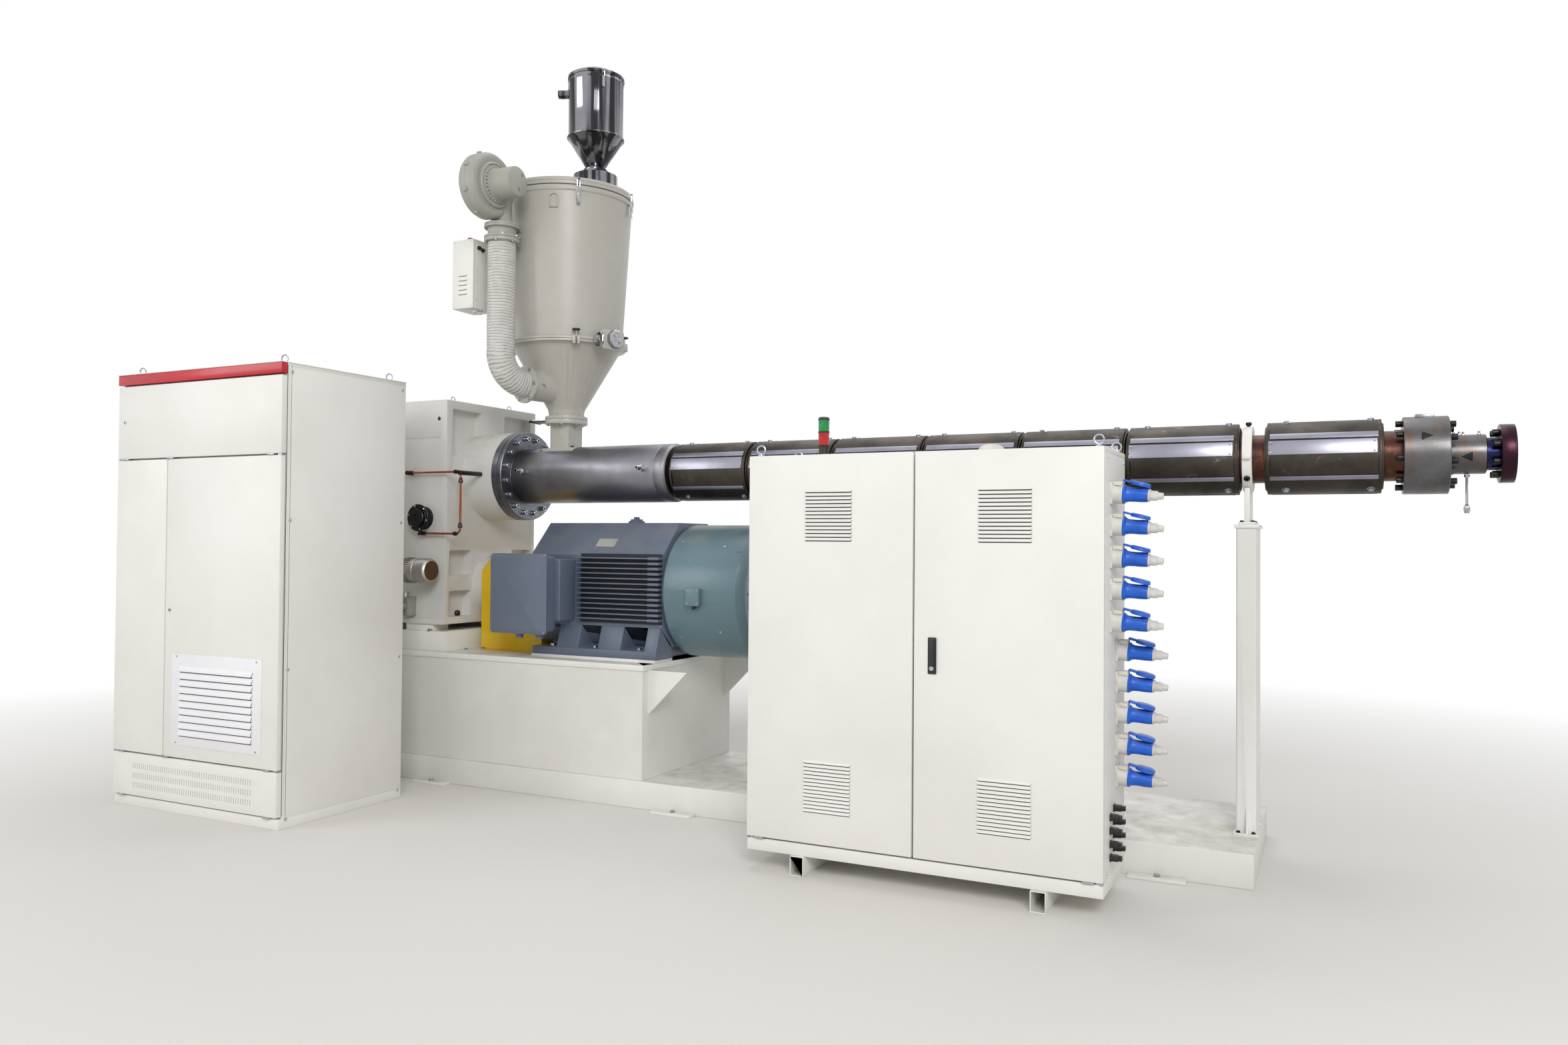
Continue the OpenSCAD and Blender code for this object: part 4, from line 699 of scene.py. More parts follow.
def hingeBracket(bm):
    # stamped bracket with two screws and a rolled knuckle, in the gap between two covers
    addBlock(bm, (-0.022, -0.004, -0.0032), (0.022, 0.018, 0.0032), 0.0008)
    for x in (-0.012, 0.012):
        addTurned(bm, placeAt((x, -0.004, 0), toFront), mm((0, 0), (3, 0), (2.4, 1.6), (0, 1.9)), 10)
    addTurned(bm, placeAt((0.0, 0.002, -0.0034), toTop), mm((0, 0), (4.2, 0), (4.2, 6.8), (0, 6.8)), 12)


patternShape("hingeBracket", (hingeBracket,))
spots = [((x, d["front"], z), toTop, toRight) for x in d["hinges"] for z in (0.274, 1.7622)]
spots += [((x, d["front"], 0.0545), toTop, toRight) for x in (-1.0, 0.07)]
repeat("driveHinges", "hingeBracket", spots, "zinc_plate")

# a zinc barrel with a three-sided key pin in a round recess
patternShape("keyLock",
             (addTurned, Matrix(), mm((0, -1), (9, -1), (9, 2.2), (7.8, 3), (6.2, 3), (5.8, 0.6), (0, 0.6)),
              16),
             (addTurned, Matrix(), mm((0, 0), (3.2, 0), (3.2, 2.4), (0, 2.4)), 3))
repeat("upperDoorLock", "keyLock", [((-1.0138, d["front"], 1.955), toFront)], "zinc_plate")
repeat("wideDoorLock", "keyLock", [((-0.64, d["front"], 1.006), toFront)], "zinc_plate", "wide_door")

# a plastic cup for a cross-head screw
patternShape("screwCup",
             (addTurned, Matrix(),
              mm((0, 0.3), (6, 0.3), (8.5, 2.4), (10.5, 2.8), (11.5, 0), (11.5, -1), (0, -1)), 16))
sidePlaces = [((d[side], y, z), out) for side, out in (("right", toRight), ("left", toLeft))
              for y in (-1.575, -0.872) for z in (0.045, 0.746, 1.452, 2.155)]
repeat("sideScrewCups", "screwCup", sidePlaces, "socket_plastic")
fasten("sideScrews", "pan", 0.0058, sidePlaces, "zinc_plate")
# the black strips are painted shade in the gaps beside the corner folds
for name, slot, stands, edge, strips in (
        ("cornerFolds", "cabinet_paint", 0.0016, 0.0008, ((-1.597, -1.5875), (-1.585, -1.578))),
        ("cornerSeams", "black_plastic", 0.0003, 0, ((-1.6, -1.5972), (-1.5778, -1.5756)))):
    assembled(name, slot, [(addBlock, (x - stands, y0, 0.062), (x + stands, y1, 2.186), edge)
                           for x in (d["left"], d["right"]) for y0, y1 in strips])
backPlaces = [((x, d["back"], z), toBack) for x in (-1.03, -0.465, 0.1) for z in (0.1, 0.746, 1.452, 2.13)]
fasten("backScrews", "pan", 0.0058, backPlaces, "zinc_plate", seed=2)

# forged ring on a collar
patternShape("eyeBolt",
             (addTurned, Matrix(), mm((0, -1), (14, -1), (14, 4), (9, 6.2), (6, 10.5), (0, 11.5)), 20),
             (addTube, [(0.0175 * math.cos(a), 0, 0.0265 + 0.0175 * math.sin(a)) for a in turns(28)], 0.0034, 8,
              True))
print("drive cabinet dressed")

# control cabinet: two louvred doors, swing handle, offset plinth, eyebolts, stack light, sockets with plugs

controlCabinet = {"left": 2.354, "right": 3.814, "front": -1.13, "frame": -1.099, "back": -0.68, "top": 1.73,
                  "doorZ": (0.138, 1.727), "split": 3.084}
c = controlCabinet
softenAll({"control_base": 0.002, "control_sides": 0.0015, "control_back": 0.002, "control_feet": 0.002})
bm = bmesh.new()  # the roof ends behind the doors, which reach to the top
addBlock(bm, (c["left"], c["frame"] - 0.003, c["top"] - 0.02), (c["right"], c["back"], c["top"]), 0.0022)
keepPiece("controlRoofPanel", bm, "cabinet_paint", replaces=("control_roof",))
pinnedDoor("leftDoor", "control_left_door", c["left"], c["split"] - 0.004, *c["doorZ"], c["front"])
pinnedDoor("rightDoor", "control_right_door", c["split"] + 0.004, c["right"], *c["doorZ"], c["front"])
doorLouvres = {"rows": 14, "pitch": 0.0152, "tops": (1.582, 0.476), "left": 2.717, "right": 3.447}
v = doorLouvres
for side, body in (("left", "left_door"), ("right", "right_door")):
    spots = [((v[side], c["front"], top - i * v["pitch"]), toTop, toRight) for top in v["tops"]
             for i in range(v["rows"])]
    repeat(side + "DoorLouvres", "doorBlade", spots, "cabinet_paint", body)
    # painted shade under each blade, in black
    repeat(side + "DoorSlits", "doorSlit", spots, "black_plastic", body)
handle = {"x": 3.163, "z": (0.859, 1.001), "width": 0.034, "lever": 0.02}
v = handle
middle = (v["z"][0] + v["z"][1]) / 2
place = placeAt((v["x"], c["front"] + 0.0005, middle), toFront, toTop)
assembled("swingHandle", "black_plastic",
          [(addPrism, place, roundRect(v["z"][1] - v["z"][0], v["width"], 0.004), 0.006, 0.0015),
           (addPrism, placeAt((v["x"], c["front"] - 0.005, middle + 0.012), toFront, toTop),
            roundRect(0.106, v["lever"], 0.005), 0.009, 0.003)], body="right_door")
assembled("handleLock", "zinc_plate",
          [(addTurned, placeAt((v["x"], c["front"] - 0.005, v["z"][0] + 0.022), toFront),
            mm((0, 0), (9.2, 0), (9.2, 6), (8, 7.4), (1.8, 7.4), (1.4, 4.5), (0, 4.5)), 24)], body="right_door")
controlCorners = [((x, y, c["top"]), toTop, (1, 0.2, 0)) for x in (2.382, 3.786) for y in (-1.078, -0.705)]
repeat("controlEyebolts", "eyeBolt", controlCorners, "zinc_plate")
driveCorners = [((x, y, d["top"]), toTop, (1, 0.2, 0)) for x in (d["left"] + 0.075, d["right"] - 0.075)
                for y in (-1.555, -0.895)]
repeat("driveEyebolts", "eyeBolt", driveCorners, "zinc_plate")
assembled("roofVentCap", "socket_plastic",
          [(addTurned, placeAt((3.352, -0.98, c["top"]), toTop),
            mm((0, -1), (46, -1), (50, 4), (50, 12), (38, 24), (20, 29), (0, 30)), 40)])
hingeSpots = [((x, c["front"] + 0.001, 0.1342), toTop, toRight) for x in (2.41, 3.76)]
repeat("controlHinges", "hingeBracket", hingeSpots, "zinc_plate")
sidePlaces = [((c["right"], y, z), toRight) for y in (-1.075, -0.71) for z in (0.16, 1.69)]
sidePlaces += [((c["left"], y, z), toLeft) for y in (-1.075, -0.71) for z in (0.16, 0.9, 1.69)]
fasten("controlSideScrews", "pan", 0.0055, sidePlaces, "zinc_plate", seed=3)
backPlaces = [((x, c["back"], z), toBack) for x in (2.42, 3.09, 3.76) for z in (0.17, 0.9, 1.68)]
fasten("controlBackScrews", "pan", 0.0055, backPlaces, "zinc_plate", seed=4)

# signal lamp: black foot, red and green ribbed lenses, black cap
stackLight = {"x": 2.57, "y": -0.85, "radius": 0.025}
v = stackLight


def lensPlastic(name, colour, deep):
    # clear moulded polycarbonate, tinted; the ribs inside catch the light
    material, tree, shader, where, normal = startMaterial(name, ior=1.58)
    shader.inputs["Transmission Weight"].default_value = 0.35
    tree.links.new(mixed(tree, ranged(tree, noise(tree, where, 30, 2), 0.3, 0.7), colour, deep),
                   shader.inputs["Base Color"])
    tree.links.new(ranged(tree, noise(tree, where, 60, 3), 0.3, 0.7, 0.12, 0.22), shader.inputs["Roughness"])
    return material


base = placeAt((v["x"], v["y"], c["top"]), toTop)
r = v["radius"]
assembled("stackLightHousing", "lamp_plastic",
          [(addTurned, base, [(0, 0), (r, 0), (r, 0.004), (r * 0.86, 0.008), (r * 0.86, 0.052), (r, 0.056),
                              (r, 0.0595), (0, 0.0595)], 32),
           (addTurned, base, [(0, 0.1145), (r, 0.1145), (r, 0.1185), (0, 0.1185)], 32),
           (addTurned, base, [(0, 0.1695), (r, 0.1695), (r, 0.176), (r * 0.8, 0.1822), (0, 0.1828)], 32)],
          replaces=("stack_light",))
for name, low, colour, deep in (("redLens", 0.06, "EE2028", "C01018"),
        ("greenLens", 0.119, "1CC065", "0E9A4C")):
    profile = [(0, low)]
    for i in range(9):
        z = low + 0.001 + i * 0.0059
        profile += [(r * 0.97, z), (r * 0.9, z + 0.003)]
    profile += [(r * 0.97, low + 0.0535), (0, low + 0.054)]
    bm = bmesh.new()
    addTurned(bm, base, [(a, min(b, low + 0.054)) for a, b in profile], 32)
    keepPiece(name, bm, "lamp_plastic", replaces=("stack_light",), finish=lensPlastic(name, colour, deep))

# industrial sockets with plugs: a grey-white inlet, and a blue lid held up by the plug
sockets = {"x": c["right"], "rows": ((-0.98, 1.56), (-0.85, 0.96)), "count": 5, "pitch": 0.12, "droop": 4}
v = sockets
droop = Matrix.Rotation(-math.radians(v["droop"]), 4, "Y")  # local X is up here, and Z leaves the cabinet


def socketInlet(bm):
    addPrism(bm, Matrix(), roundRect(0.084, 0.072, 0.006), 0.008, 0.0016)
    addTurned(bm, droop,
              mm((0, 4), (40.5, 6), (40.5, 10), (38.5, 12), (37, 22), (37.5, 40), (37.5, 43.5), (0, 43.5)), 20)
    addBlock(bm, (0.026, -0.018, 0.016), (0.046, 0.018, 0.041), 0.002, droop)
    for side in (-1, 1):
        addBlock(bm, (0.03, side * 0.024 - 0.004, 0.006), (0.044, side * 0.024 + 0.004, 0.042), 0.0015, droop)


def socketLid(bm):
    # the hinged lid leans on the plug's shoulder
    place = droop @ placeAt((0.046, 0, 0.044), (0.985, 0, 0.17), (-0.17, 0, 0.985))
    addTurned(bm, place @ Matrix.Translation((0.06, 0, -0.003)),
              mm((0, 9), (30, 10), (32.5, 0), (35, 0), (37, 3), (35.5, 12), (32, 14.5), (0, 15.5)), 20)
    addBlock(bm, (-0.004, -0.015, 0.001), (0.034, 0.015, 0.009), 0.002, place)


def plugBody(bm):
    addTurned(bm, droop, mm((0, 42.5), (35.5, 42.5), (36.5, 46), (36.5, 50.5), (33.5, 52.5), (29.5, 58),
                            (27.5, 68), (26.8, 88), (27.2, 104), (26.2, 124), (25, 133.5), (0, 133.5)), 24)
    for i in range(5):
        turn = droop @ Matrix.Rotation(math.radians(60 * i - 120), 4, "Z")
        addBlock(bm, (0.0255, -0.0022, 0.106), (0.0282, 0.0022, 0.131), 0.0008, turn, 1)


def plugGland(bm):
    addTurned(bm, droop,
              mm((0, 132), (23.2, 132), (23.8, 134), (23.8, 140.5), (20.5, 142), (17, 142.5), (0, 142.5)), 20)
    addTurned(bm, droop, mm((0, 142), (17.8, 142), (18.6, 145), (18, 165), (15, 168.5), (0, 168.5)), 10)
    addTurned(bm, droop,
              mm((0, 168), (12.8, 168), (13.4, 171), (11.8, 187), (6.6, 188.5), (5.8, 180), (0, 180)), 8)


spots = [((v["x"], y, top - v["pitch"] * i), toRight, toTop) for y, top in v["rows"] for i in range(v["count"])]
for name, build, slot, node in (("socketInlets", socketInlet, "socket_plastic", "plug_sockets"),
        ("socketLids", socketLid, "plug_plastic", "plug_sockets"),
        ("plugBodies", plugBody, "plug_plastic", "plugs"),
        ("plugGlands", plugGland, "socket_plastic", "plugs")):
    patternShape(name, (build,))
    repeat(name, name, spots, slot, replaces=(node,))
inletScrews = [((v["x"] + 0.008, at[1] + y, at[2] + z), toRight) for at, _, _ in spots for y in (-0.029, 0.029)
               for z in (-0.036, 0.036)]
fasten("inletScrews", "pan", 0.0026, inletScrews, "zinc_plate", seed=5)

# small black connectors low on the same side, each with a light blank tag and a clip
connectors = {"y": (-0.99, -0.915), "z": 0.2, "pitch": 0.05, "step": 0.02, "rows": 4}
v = connectors


def smallConnector(bm):
    addBlock(bm, (-0.013, -0.015, 0), (0.013, 0.015, 0.006), 0.001, segments=1)
    addBlock(bm, (-0.011, -0.013, 0.004), (0.011, 0.013, 0.03), 0.0016)
    addBlock(bm, (-0.009, -0.0105, 0.028), (0.009, 0.0105, 0.044), 0.002)
    for side in (-1, 1):
        addBlock(bm, (-0.004, side * 0.0145 - 0.0012, 0.002), (0.004, side * 0.0145 + 0.0012, 0.034), 0.0005,
                 segments=1)


patternShape("smallConnector", (smallConnector,))
patternShape("connectorTag", (addBlock, (-0.0065, -0.0137, 0.01), (0.0065, -0.0127, 0.026), 0.0003, None, 1))
spots = [((c["right"], y, v["z"] + v["pitch"] * i + v["step"] * k), toRight, toTop) for i in range(v["rows"])
         for k, y in enumerate(v["y"])]
repeat("connectorBodies", "smallConnector", spots, "black_plastic", replaces=("small_connectors",))
repeat("connectorTags", "connectorTag", [(at, up, toTop) for at, up, _ in spots], "socket_plastic",
       replaces=("small_connectors",))
print("cabinets dressed")

# hopper dryer: insulated drum, lid with toggle latches, ring with thumb screws, cone, cleanout door
hopper = {"x": line["hopperX"], "ring": line["ringZ"], "lid": line["lidZ"], "foot": 0.318, "top": 0.366,
          "wall": 0.032, "clamps": (-45, 15, 75, 135, 195), "ringClamps": (-45, 15, 105, 195),
          "handles": (-66, 114), "stub": -104, "stubZ": 2.244, "stubEnd": 0.303, "ductReach": 0.463}
v = hopper


def onHopper(angle, radius, z):
    # a point at an angle round the hopper's axis, with the outward direction there
    out = bearing(math.radians(angle))
    return Vector((hopper["x"], 0, z)) + out * radius, out


def drumRadius(z):
    h = hopper
    return h["foot"] + (h["top"] - h["foot"]) * (z - h["ring"] - 0.016) / (h["lid"] - h["ring"] - 0.038)


axisFoot = (v["x"], 0, 0)
inner = v["foot"] - v["wall"]
seam = v["ring"] + 0.066
turned("hopperDrumShell", "hopper_paint", axisFoot, toTop,
       [(inner, v["ring"] + 0.001), (0.3355, v["ring"] + 0.0012), (0.338, v["ring"] + 0.0035),
        (0.338, v["ring"] + 0.0135), (0.3355, v["ring"] + 0.016), (0.3215, v["ring"] + 0.0175),
        (drumRadius(v["ring"] + 0.021) + 0.0006, v["ring"] + 0.021), (drumRadius(seam) + 0.0008, seam),
        (drumRadius(seam) - 0.0002, seam + 0.001), (drumRadius(3.306), 3.306), (0.3705, 3.3095), (0.372, 3.312),
        (0.372, 3.336), (0.3705, 3.3385), (0.334, 3.3392), (0.334, 3.33)], 120, replaces=("hopper_drum",))
turned("hopperLidShell", "hopper_paint", (v["x"], 0, v["lid"]), toTop,
       mm((0, 2), (373.5, 2), (376, 4.5), (376, 18.5), (374, 20.5), (370, 21), (369.5, 22.5), (371.5, 24),
          (371.5, 36), (368, 42.5), (360, 44.5), (250, 52.5), (120, 61), (0, 64.5)), 120,
       replaces=("hopper_lid",))
turned("loaderDeck", "hopper_paint", (0.644, 0.12, v["lid"] + 0.03), toTop,
       mm((0, 0), (164, 0), (164, 37), (162.5, 39.5), (0, 39.8)), 72, replaces=("hopper_lid",))
for name, low, high, radius in (("lidGasket", v["lid"] - 0.002, v["lid"] + 0.003, 0.3712),
        ("ringGasket", v["ring"] - 0.0015, v["ring"] + 0.0022, 0.3362)):
    turned(name, "black_plastic", axisFoot, toTop,
           [(radius - 0.012, low), (radius, low), (radius, high), (radius - 0.012, high)], 96)
softenEdges("hopper_cone", 0.0022)
softenAll({"hopper_throat": 0.0014, "slide_gate": 0.0014})


def toggleLatch(bm):
    # base plate, bowed lever, wire loop and catch; X is up, Z stands out of the wall
    addBlock(bm, (-0.062, -0.0105, -0.001), (0.006, 0.0105, 0.0022), 0.0006, segments=1)
    sideways = placeAt((0, -0.0095, 0), toBack, toRight)
    addPrism(bm, sideways,
             [(0.012, -0.003), (0.013, -0.013), (-0.018, -0.0155), (-0.055, -0.0115), (-0.078, -0.0165),
              (-0.08, -0.015), (-0.055, -0.0085), (-0.018, -0.0105), (0.004, -0.003)], 0.019)
    loop = rounded([(0.006, -0.0075, 0.011), (0.052, -0.0075, 0.013), (0.052, 0.0075, 0.013),
                    (0.006, 0.0075, 0.011), (0.006, -0.0075, 0.011)], 0.003, 3)
    addTube(bm, loop[:-1], 0.0019, 6, closed=True)
    addBlock(bm, (0.038, -0.01, -0.002), (0.058, 0.01, 0.0095), 0.001, segments=1)
    addPrism(bm, sideways, [(0.044, -0.009), (0.06, -0.009), (0.06, -0.019), (0.057, -0.019), (0.055, -0.0115),
                            (0.044, -0.0115)], 0.019)
    addTurned(bm, Matrix.Translation((-0.03, 0, 0.011)), mm((0, 0), (5.5, 0), (4.5, 4.5), (0, 5)), 10)


patternShape("toggleLatch", (toggleLatch,))
latches = [onHopper(a, 0.3725, v["lid"] - 0.026) for a in v["clamps"]]
repeat("lidLatches", "toggleLatch", [(at, out, toTop) for at, out in latches], "chrome_plate")


def bailHandle(bm):
    # pressed bracket with a wire bail; X is up
    addBlock(bm, (-0.034, -0.02, -0.001), (-0.004, 0.02, 0.002), 0.0008, segments=1)
    addBlock(bm, (-0.034, -0.024, 0), (-0.029, 0.024, 0.009), 0.0015, segments=1)
    addBlock(bm, (-0.03, -0.01, 0.001), (-0.006, 0.01, 0.0035), 0.001, segments=1)
    bail = [(-0.031, -0.0235, 0.006), (0.018, -0.0235, 0.008)]
    bail += [(0.018 + 0.0235 * math.sin(t), -0.0235 * math.cos(t), 0.008)
             for t in (math.pi * i / 10 for i in range(1, 10))]
    addTube(bm, bail + [(0.018, 0.0235, 0.008), (-0.031, 0.0235, 0.006)], 0.0028, 8)


patternShape("bailHandle", (bailHandle,))
spots = [(at, out, toTop) for at, out in (onHopper(a, drumRadius(3.245) + 0.0005, 3.245) for a in v["handles"])]
repeat("bailHandles", "bailHandle", spots, "hopper_paint")


def clampEars(bm):
    for side in (-1, 1):
        addBlock(bm, (-0.022, side * 0.012 - 0.0075, -0.03), (0.03, side * 0.012 + 0.0075, 0.015), 0.0022)
        addTurned(bm, placeAt((0.016, side * 0.0195, -0.01), (0, side, 0)),
                  mm((0, 0), (5.2, 0), (4, 3), (0, 3.2)), 12)


def clampStem(bm):
    addTurned(bm, Matrix.Translation((0.016, 0, 0)), mm((0, -24), (4.4, -24), (4.4, 44), (0, 44)), 10)
    addTurned(bm, Matrix.Translation((0.016, 0, 0)), mm((0, 14), (7.8, 14), (7.8, 17.5), (0, 17.5)), 12)


def clampKnob(bm):
    rim = [(0, 0.042), (0.01, 0.042), (0.021, 0.0445), (0.0235, 0.048), (0.0225, 0.0525), (0.014, 0.055),
           (0, 0.0556)]
    addTurned(bm, Matrix.Translation((0.016, 0, 0)), rim, 18)


spots = [(at, toTop, out) for at, out in (onHopper(a, 0.334, v["ring"]) for a in v["ringClamps"])]
for name, build, slot in (("ringClampEars", clampEars, "hopper_paint"),
                          ("ringClampStems", clampStem, "chrome_plate"),
                          ("ringClampKnobs", clampKnob, "black_plastic")):
    patternShape(name, (build,))
    repeat(name, name, spots, slot)

# cleanout door: painted box, eight-sided polished cover with pressed crosses, and its own thumb screw
cleanout = {"angle": -14, "reach": 0.338}
w = cleanout
at, out = onHopper(w["angle"], w["reach"], v["ring"])
door = placeAt(at, out, toTop)  # X up, Y to the operator's side, Z out of the hopper
assembled("cleanoutBox", "hopper_paint", [
    (addBlock, (-0.03, -0.062, 0.001), (0.034, 0.062, 0.062), 0.002, door),
    (addPrism, door @ Matrix.Translation((0.002, 0, 0.058)), roundRect(0.108, 0.15, 0.008), 0.012, 0.0015),
    (addBlock, (-0.04, 0.06, 0.018), (0.04, 0.08, 0.066), 0.002, door)], replaces=("cleanout_latch",))
bm = bmesh.new()
for place, radius, depth in ((door @ Matrix.Translation((0.006, 0, 0.069)), 0.052, 0.03),
        (door @ placeAt((0, 0.079, 0.042), toBack, toRight), 0.044, 0.013)):
    addTurned(bm, place,
              [(0, 0), (radius, 0), (radius, depth - 0.004), (radius - 0.004, depth), (radius * 0.66, depth),
               (radius * 0.62, depth - 0.003), (0.012, depth - 0.003), (0.01, depth), (0, depth + 0.0004)], 8,
              math.pi / 8)
    for i in range(4):
        turn = place @ Matrix.Rotation(math.pi / 4 + i * math.pi / 2, 4, "Z")
        addBlock(bm, (0.014, -0.003, depth - 0.004), (radius * 0.84, 0.003, depth + 0.0008), 0.001, turn, 1)
keepPiece("cleanoutCovers", bm, "chrome_plate", replaces=("cleanout_latch",), smooth=20)
rim = [(door @ Vector((0.006 + 0.044 * math.cos(t), 0.044 * math.sin(t), 0.098)), out)
       for t in (math.pi * k / 8 for k in range(16))]
fasten("cleanoutScrews", "rivet", 0.003, rim, "zinc_plate", seed=6)

# stub for the hot air: bolts through its flange, a boss with a small locking pin
at, out = onHopper(v["stub"], v["stubEnd"] - 0.0003, v["stubZ"])
fasten("stubBolts", "hex", 0.0105, ring(at, 0.0935, 6, out, 0, math.radians(30)), "zinc_plate", seed=7)
pinAt, out = onHopper(v["stub"], 0.235, v["stubZ"])
side = Vector((-out.y, out.x, 0))
boss = pinAt + side * 0.086
assembled("stubPin", "chrome_plate",
          [(addTurned, placeAt(boss, side), mm((0, -10), (7.5, -10), (7.5, 8), (0, 8)), 12),
           (addTube, [boss + side * 0.006, boss + side * 0.012 + Vector((0, 0, -0.004)),
                      boss + side * 0.022 + Vector((0, 0, -0.02))], 0.0022, 8)])
fasten("gateFlangeBolts", "hex", 0.0085, ring((v["x"], 0, 2.0398), 0.108, 8, toFloor, 0, 0.39), "zinc_plate",
       seed=8)
throatBolts = [((v["x"] + x, y, 1.9), toTop) for x in (-0.094, 0.094) for y in (-0.066, 0.066)]
fasten("throatBolts", "socket", 0.0095, throatBolts, "black_plastic", seed=9)

# blower: two cast half shells with lugs on the joint, a motor with vents round its foot, flanges and neck
# the tape's turns are drawn coarser than the real 10 mm, so that they show
duct = {"x": hopper["x"] + hopper["ductReach"] * math.cos(math.radians(hopper["stub"])),
        "y": hopper["ductReach"] * math.sin(math.radians(hopper["stub"])), "z0": 2.404, "z1": 3.03,
        "radius": 0.075, "bend": 0.16, "pitch": 0.016, "bulge": 0.0028}
u = duct
blower = {"x": u["x"] - 0.067, "y": u["y"] - 0.115, "z": u["z1"] + 0.264, "lugs": 8, "vents": 30}
w = blower
housing = (w["x"], w["y"], w["z"])
turned("blowerShell", "blower_paint", housing, toRight, mm((0, 0), (148, 0), (166, 6), (174.5, 20), (175, 50),
    (173.5, 50.8), (173.5, 52.8), (175, 53.6), (175, 84), (172, 96), (164, 106), (152, 110), (134, 110.5),
    (129, 108), (123.5, 108), (121.5, 120), (116.5, 124.5), (108.5, 124.5), (105, 120.5), (102, 120.5),
    (99, 129), (84.5, 134.5), (81.5, 134.5), (80, 137), (80, 260), (78, 265.5), (74, 268), (0, 268)), 80,
       replaces=("dryer_blower",))
patternShape("rimLug",
             (addBlock, (-0.009, -0.011, -0.006), (0.009, 0.011, 0.01), 0.003),
             (addTurned, placeAt((0, 0.01, 0.003), toBack), mm((0, 0), (5, 0), (4.2, 4), (0, 4.5)), 8))
lugs = [(Vector(housing) + Vector((0.052, 0, 0)) + out * 0.1745, out, (0, -out.z, out.y))
        for out in map(spoke, turns(w["lugs"], 0.35))]
repeat("rimLugs", "rimLug", lugs, "blower_paint", replaces=("dryer_blower",))
patternShape("ventSlot", (addBlock, (-0.0055, -0.0021, -0.003), (0.0055, 0.0021, 0.0004), 0.0003, None, 1))
vents = [(Vector(housing) + Vector((0.1318, 0, 0)) + out * 0.0918, Vector((0.0145, 0, 0)) + out * 0.0055, out)
         for out in map(spoke, turns(w["vents"]))]
# painted shade: black slots on the shell where the vents open
repeat("blowerVents", "ventSlot", vents, "black_plastic")
# painted shade: black slits on the blower's end cap
capSlits = [(Vector(housing) + Vector((0.2682, y, z + k * 0.007)), toRight, (0, 0.3, 1))
            for y, z in ((0.035, 0.034), (0.012, -0.048)) for k in range(3)]
patternShape("capSlit", (addBlock, (-0.0013, -0.0055, -0.002), (0.0013, 0.0055, 0.0004), 0.0002, None, 1))
repeat("capSlits", "capSlit", capSlits, "black_plastic")
fasten("blowerScrews", "pan", 0.0045, ring(housing, 0.1125, 6, toRight, 0.1243, 0.5), "zinc_plate", seed=10)
bm = bmesh.new()
neck = placeAt((u["x"], u["y"], u["z1"]), toTop)
addTurned(bm, neck, mm((0, 0.5), (95.5, 0.5), (97, 2), (97, 10.5), (95.5, 12), (79, 12.5), (78, 15), (78, 54),
                       (79, 55.5), (95.5, 56), (97, 57.5), (97, 66.5), (95.5, 67.5), (95.5, 68.5), (97, 69.5),
                       (97, 78.5), (95.5, 80), (68, 80.5), (60, 86), (56, 104), (53, 140), (52, 200), (0, 200)),
          64)
bracket = placeAt((v["x"], 0, u["z1"] + 0.02), toTop, bearing(math.radians(v["stub"])))
addBlock(bm, (drumRadius(u["z1"] + 0.05) + 0.0004, -0.025, 0), (0.4, 0.025, 0.03), 0.003, bracket)
keepPiece("blowerNeck", bm, "blower_paint", replaces=("dryer_blower",))
flangeBolts = ring((u["x"], u["y"], u["z1"] - 0.0203), 0.0865, 6, toFloor, 0, 0.2)
flangeBolts += ring((u["x"], u["y"], u["z1"] + 0.0118), 0.0865, 6, toTop, 0, 0.2)
flangeBolts += ring((u["x"], u["y"], u["z1"] + 0.0798), 0.084, 6, toTop, 0, 0.5)
fasten("ductFlangeBolts", "hex", 0.0088, flangeBolts, "zinc_plate", seed=11)
turned("ductFlange", "blower_paint", (u["x"], u["y"], u["z1"] - 0.02), toTop,
       mm((0, 0), (95.5, 0), (97, 1.5), (97, 17.5), (95.5, 19.2), (0, 19.2)), 64, replaces=("hot_air_duct",))


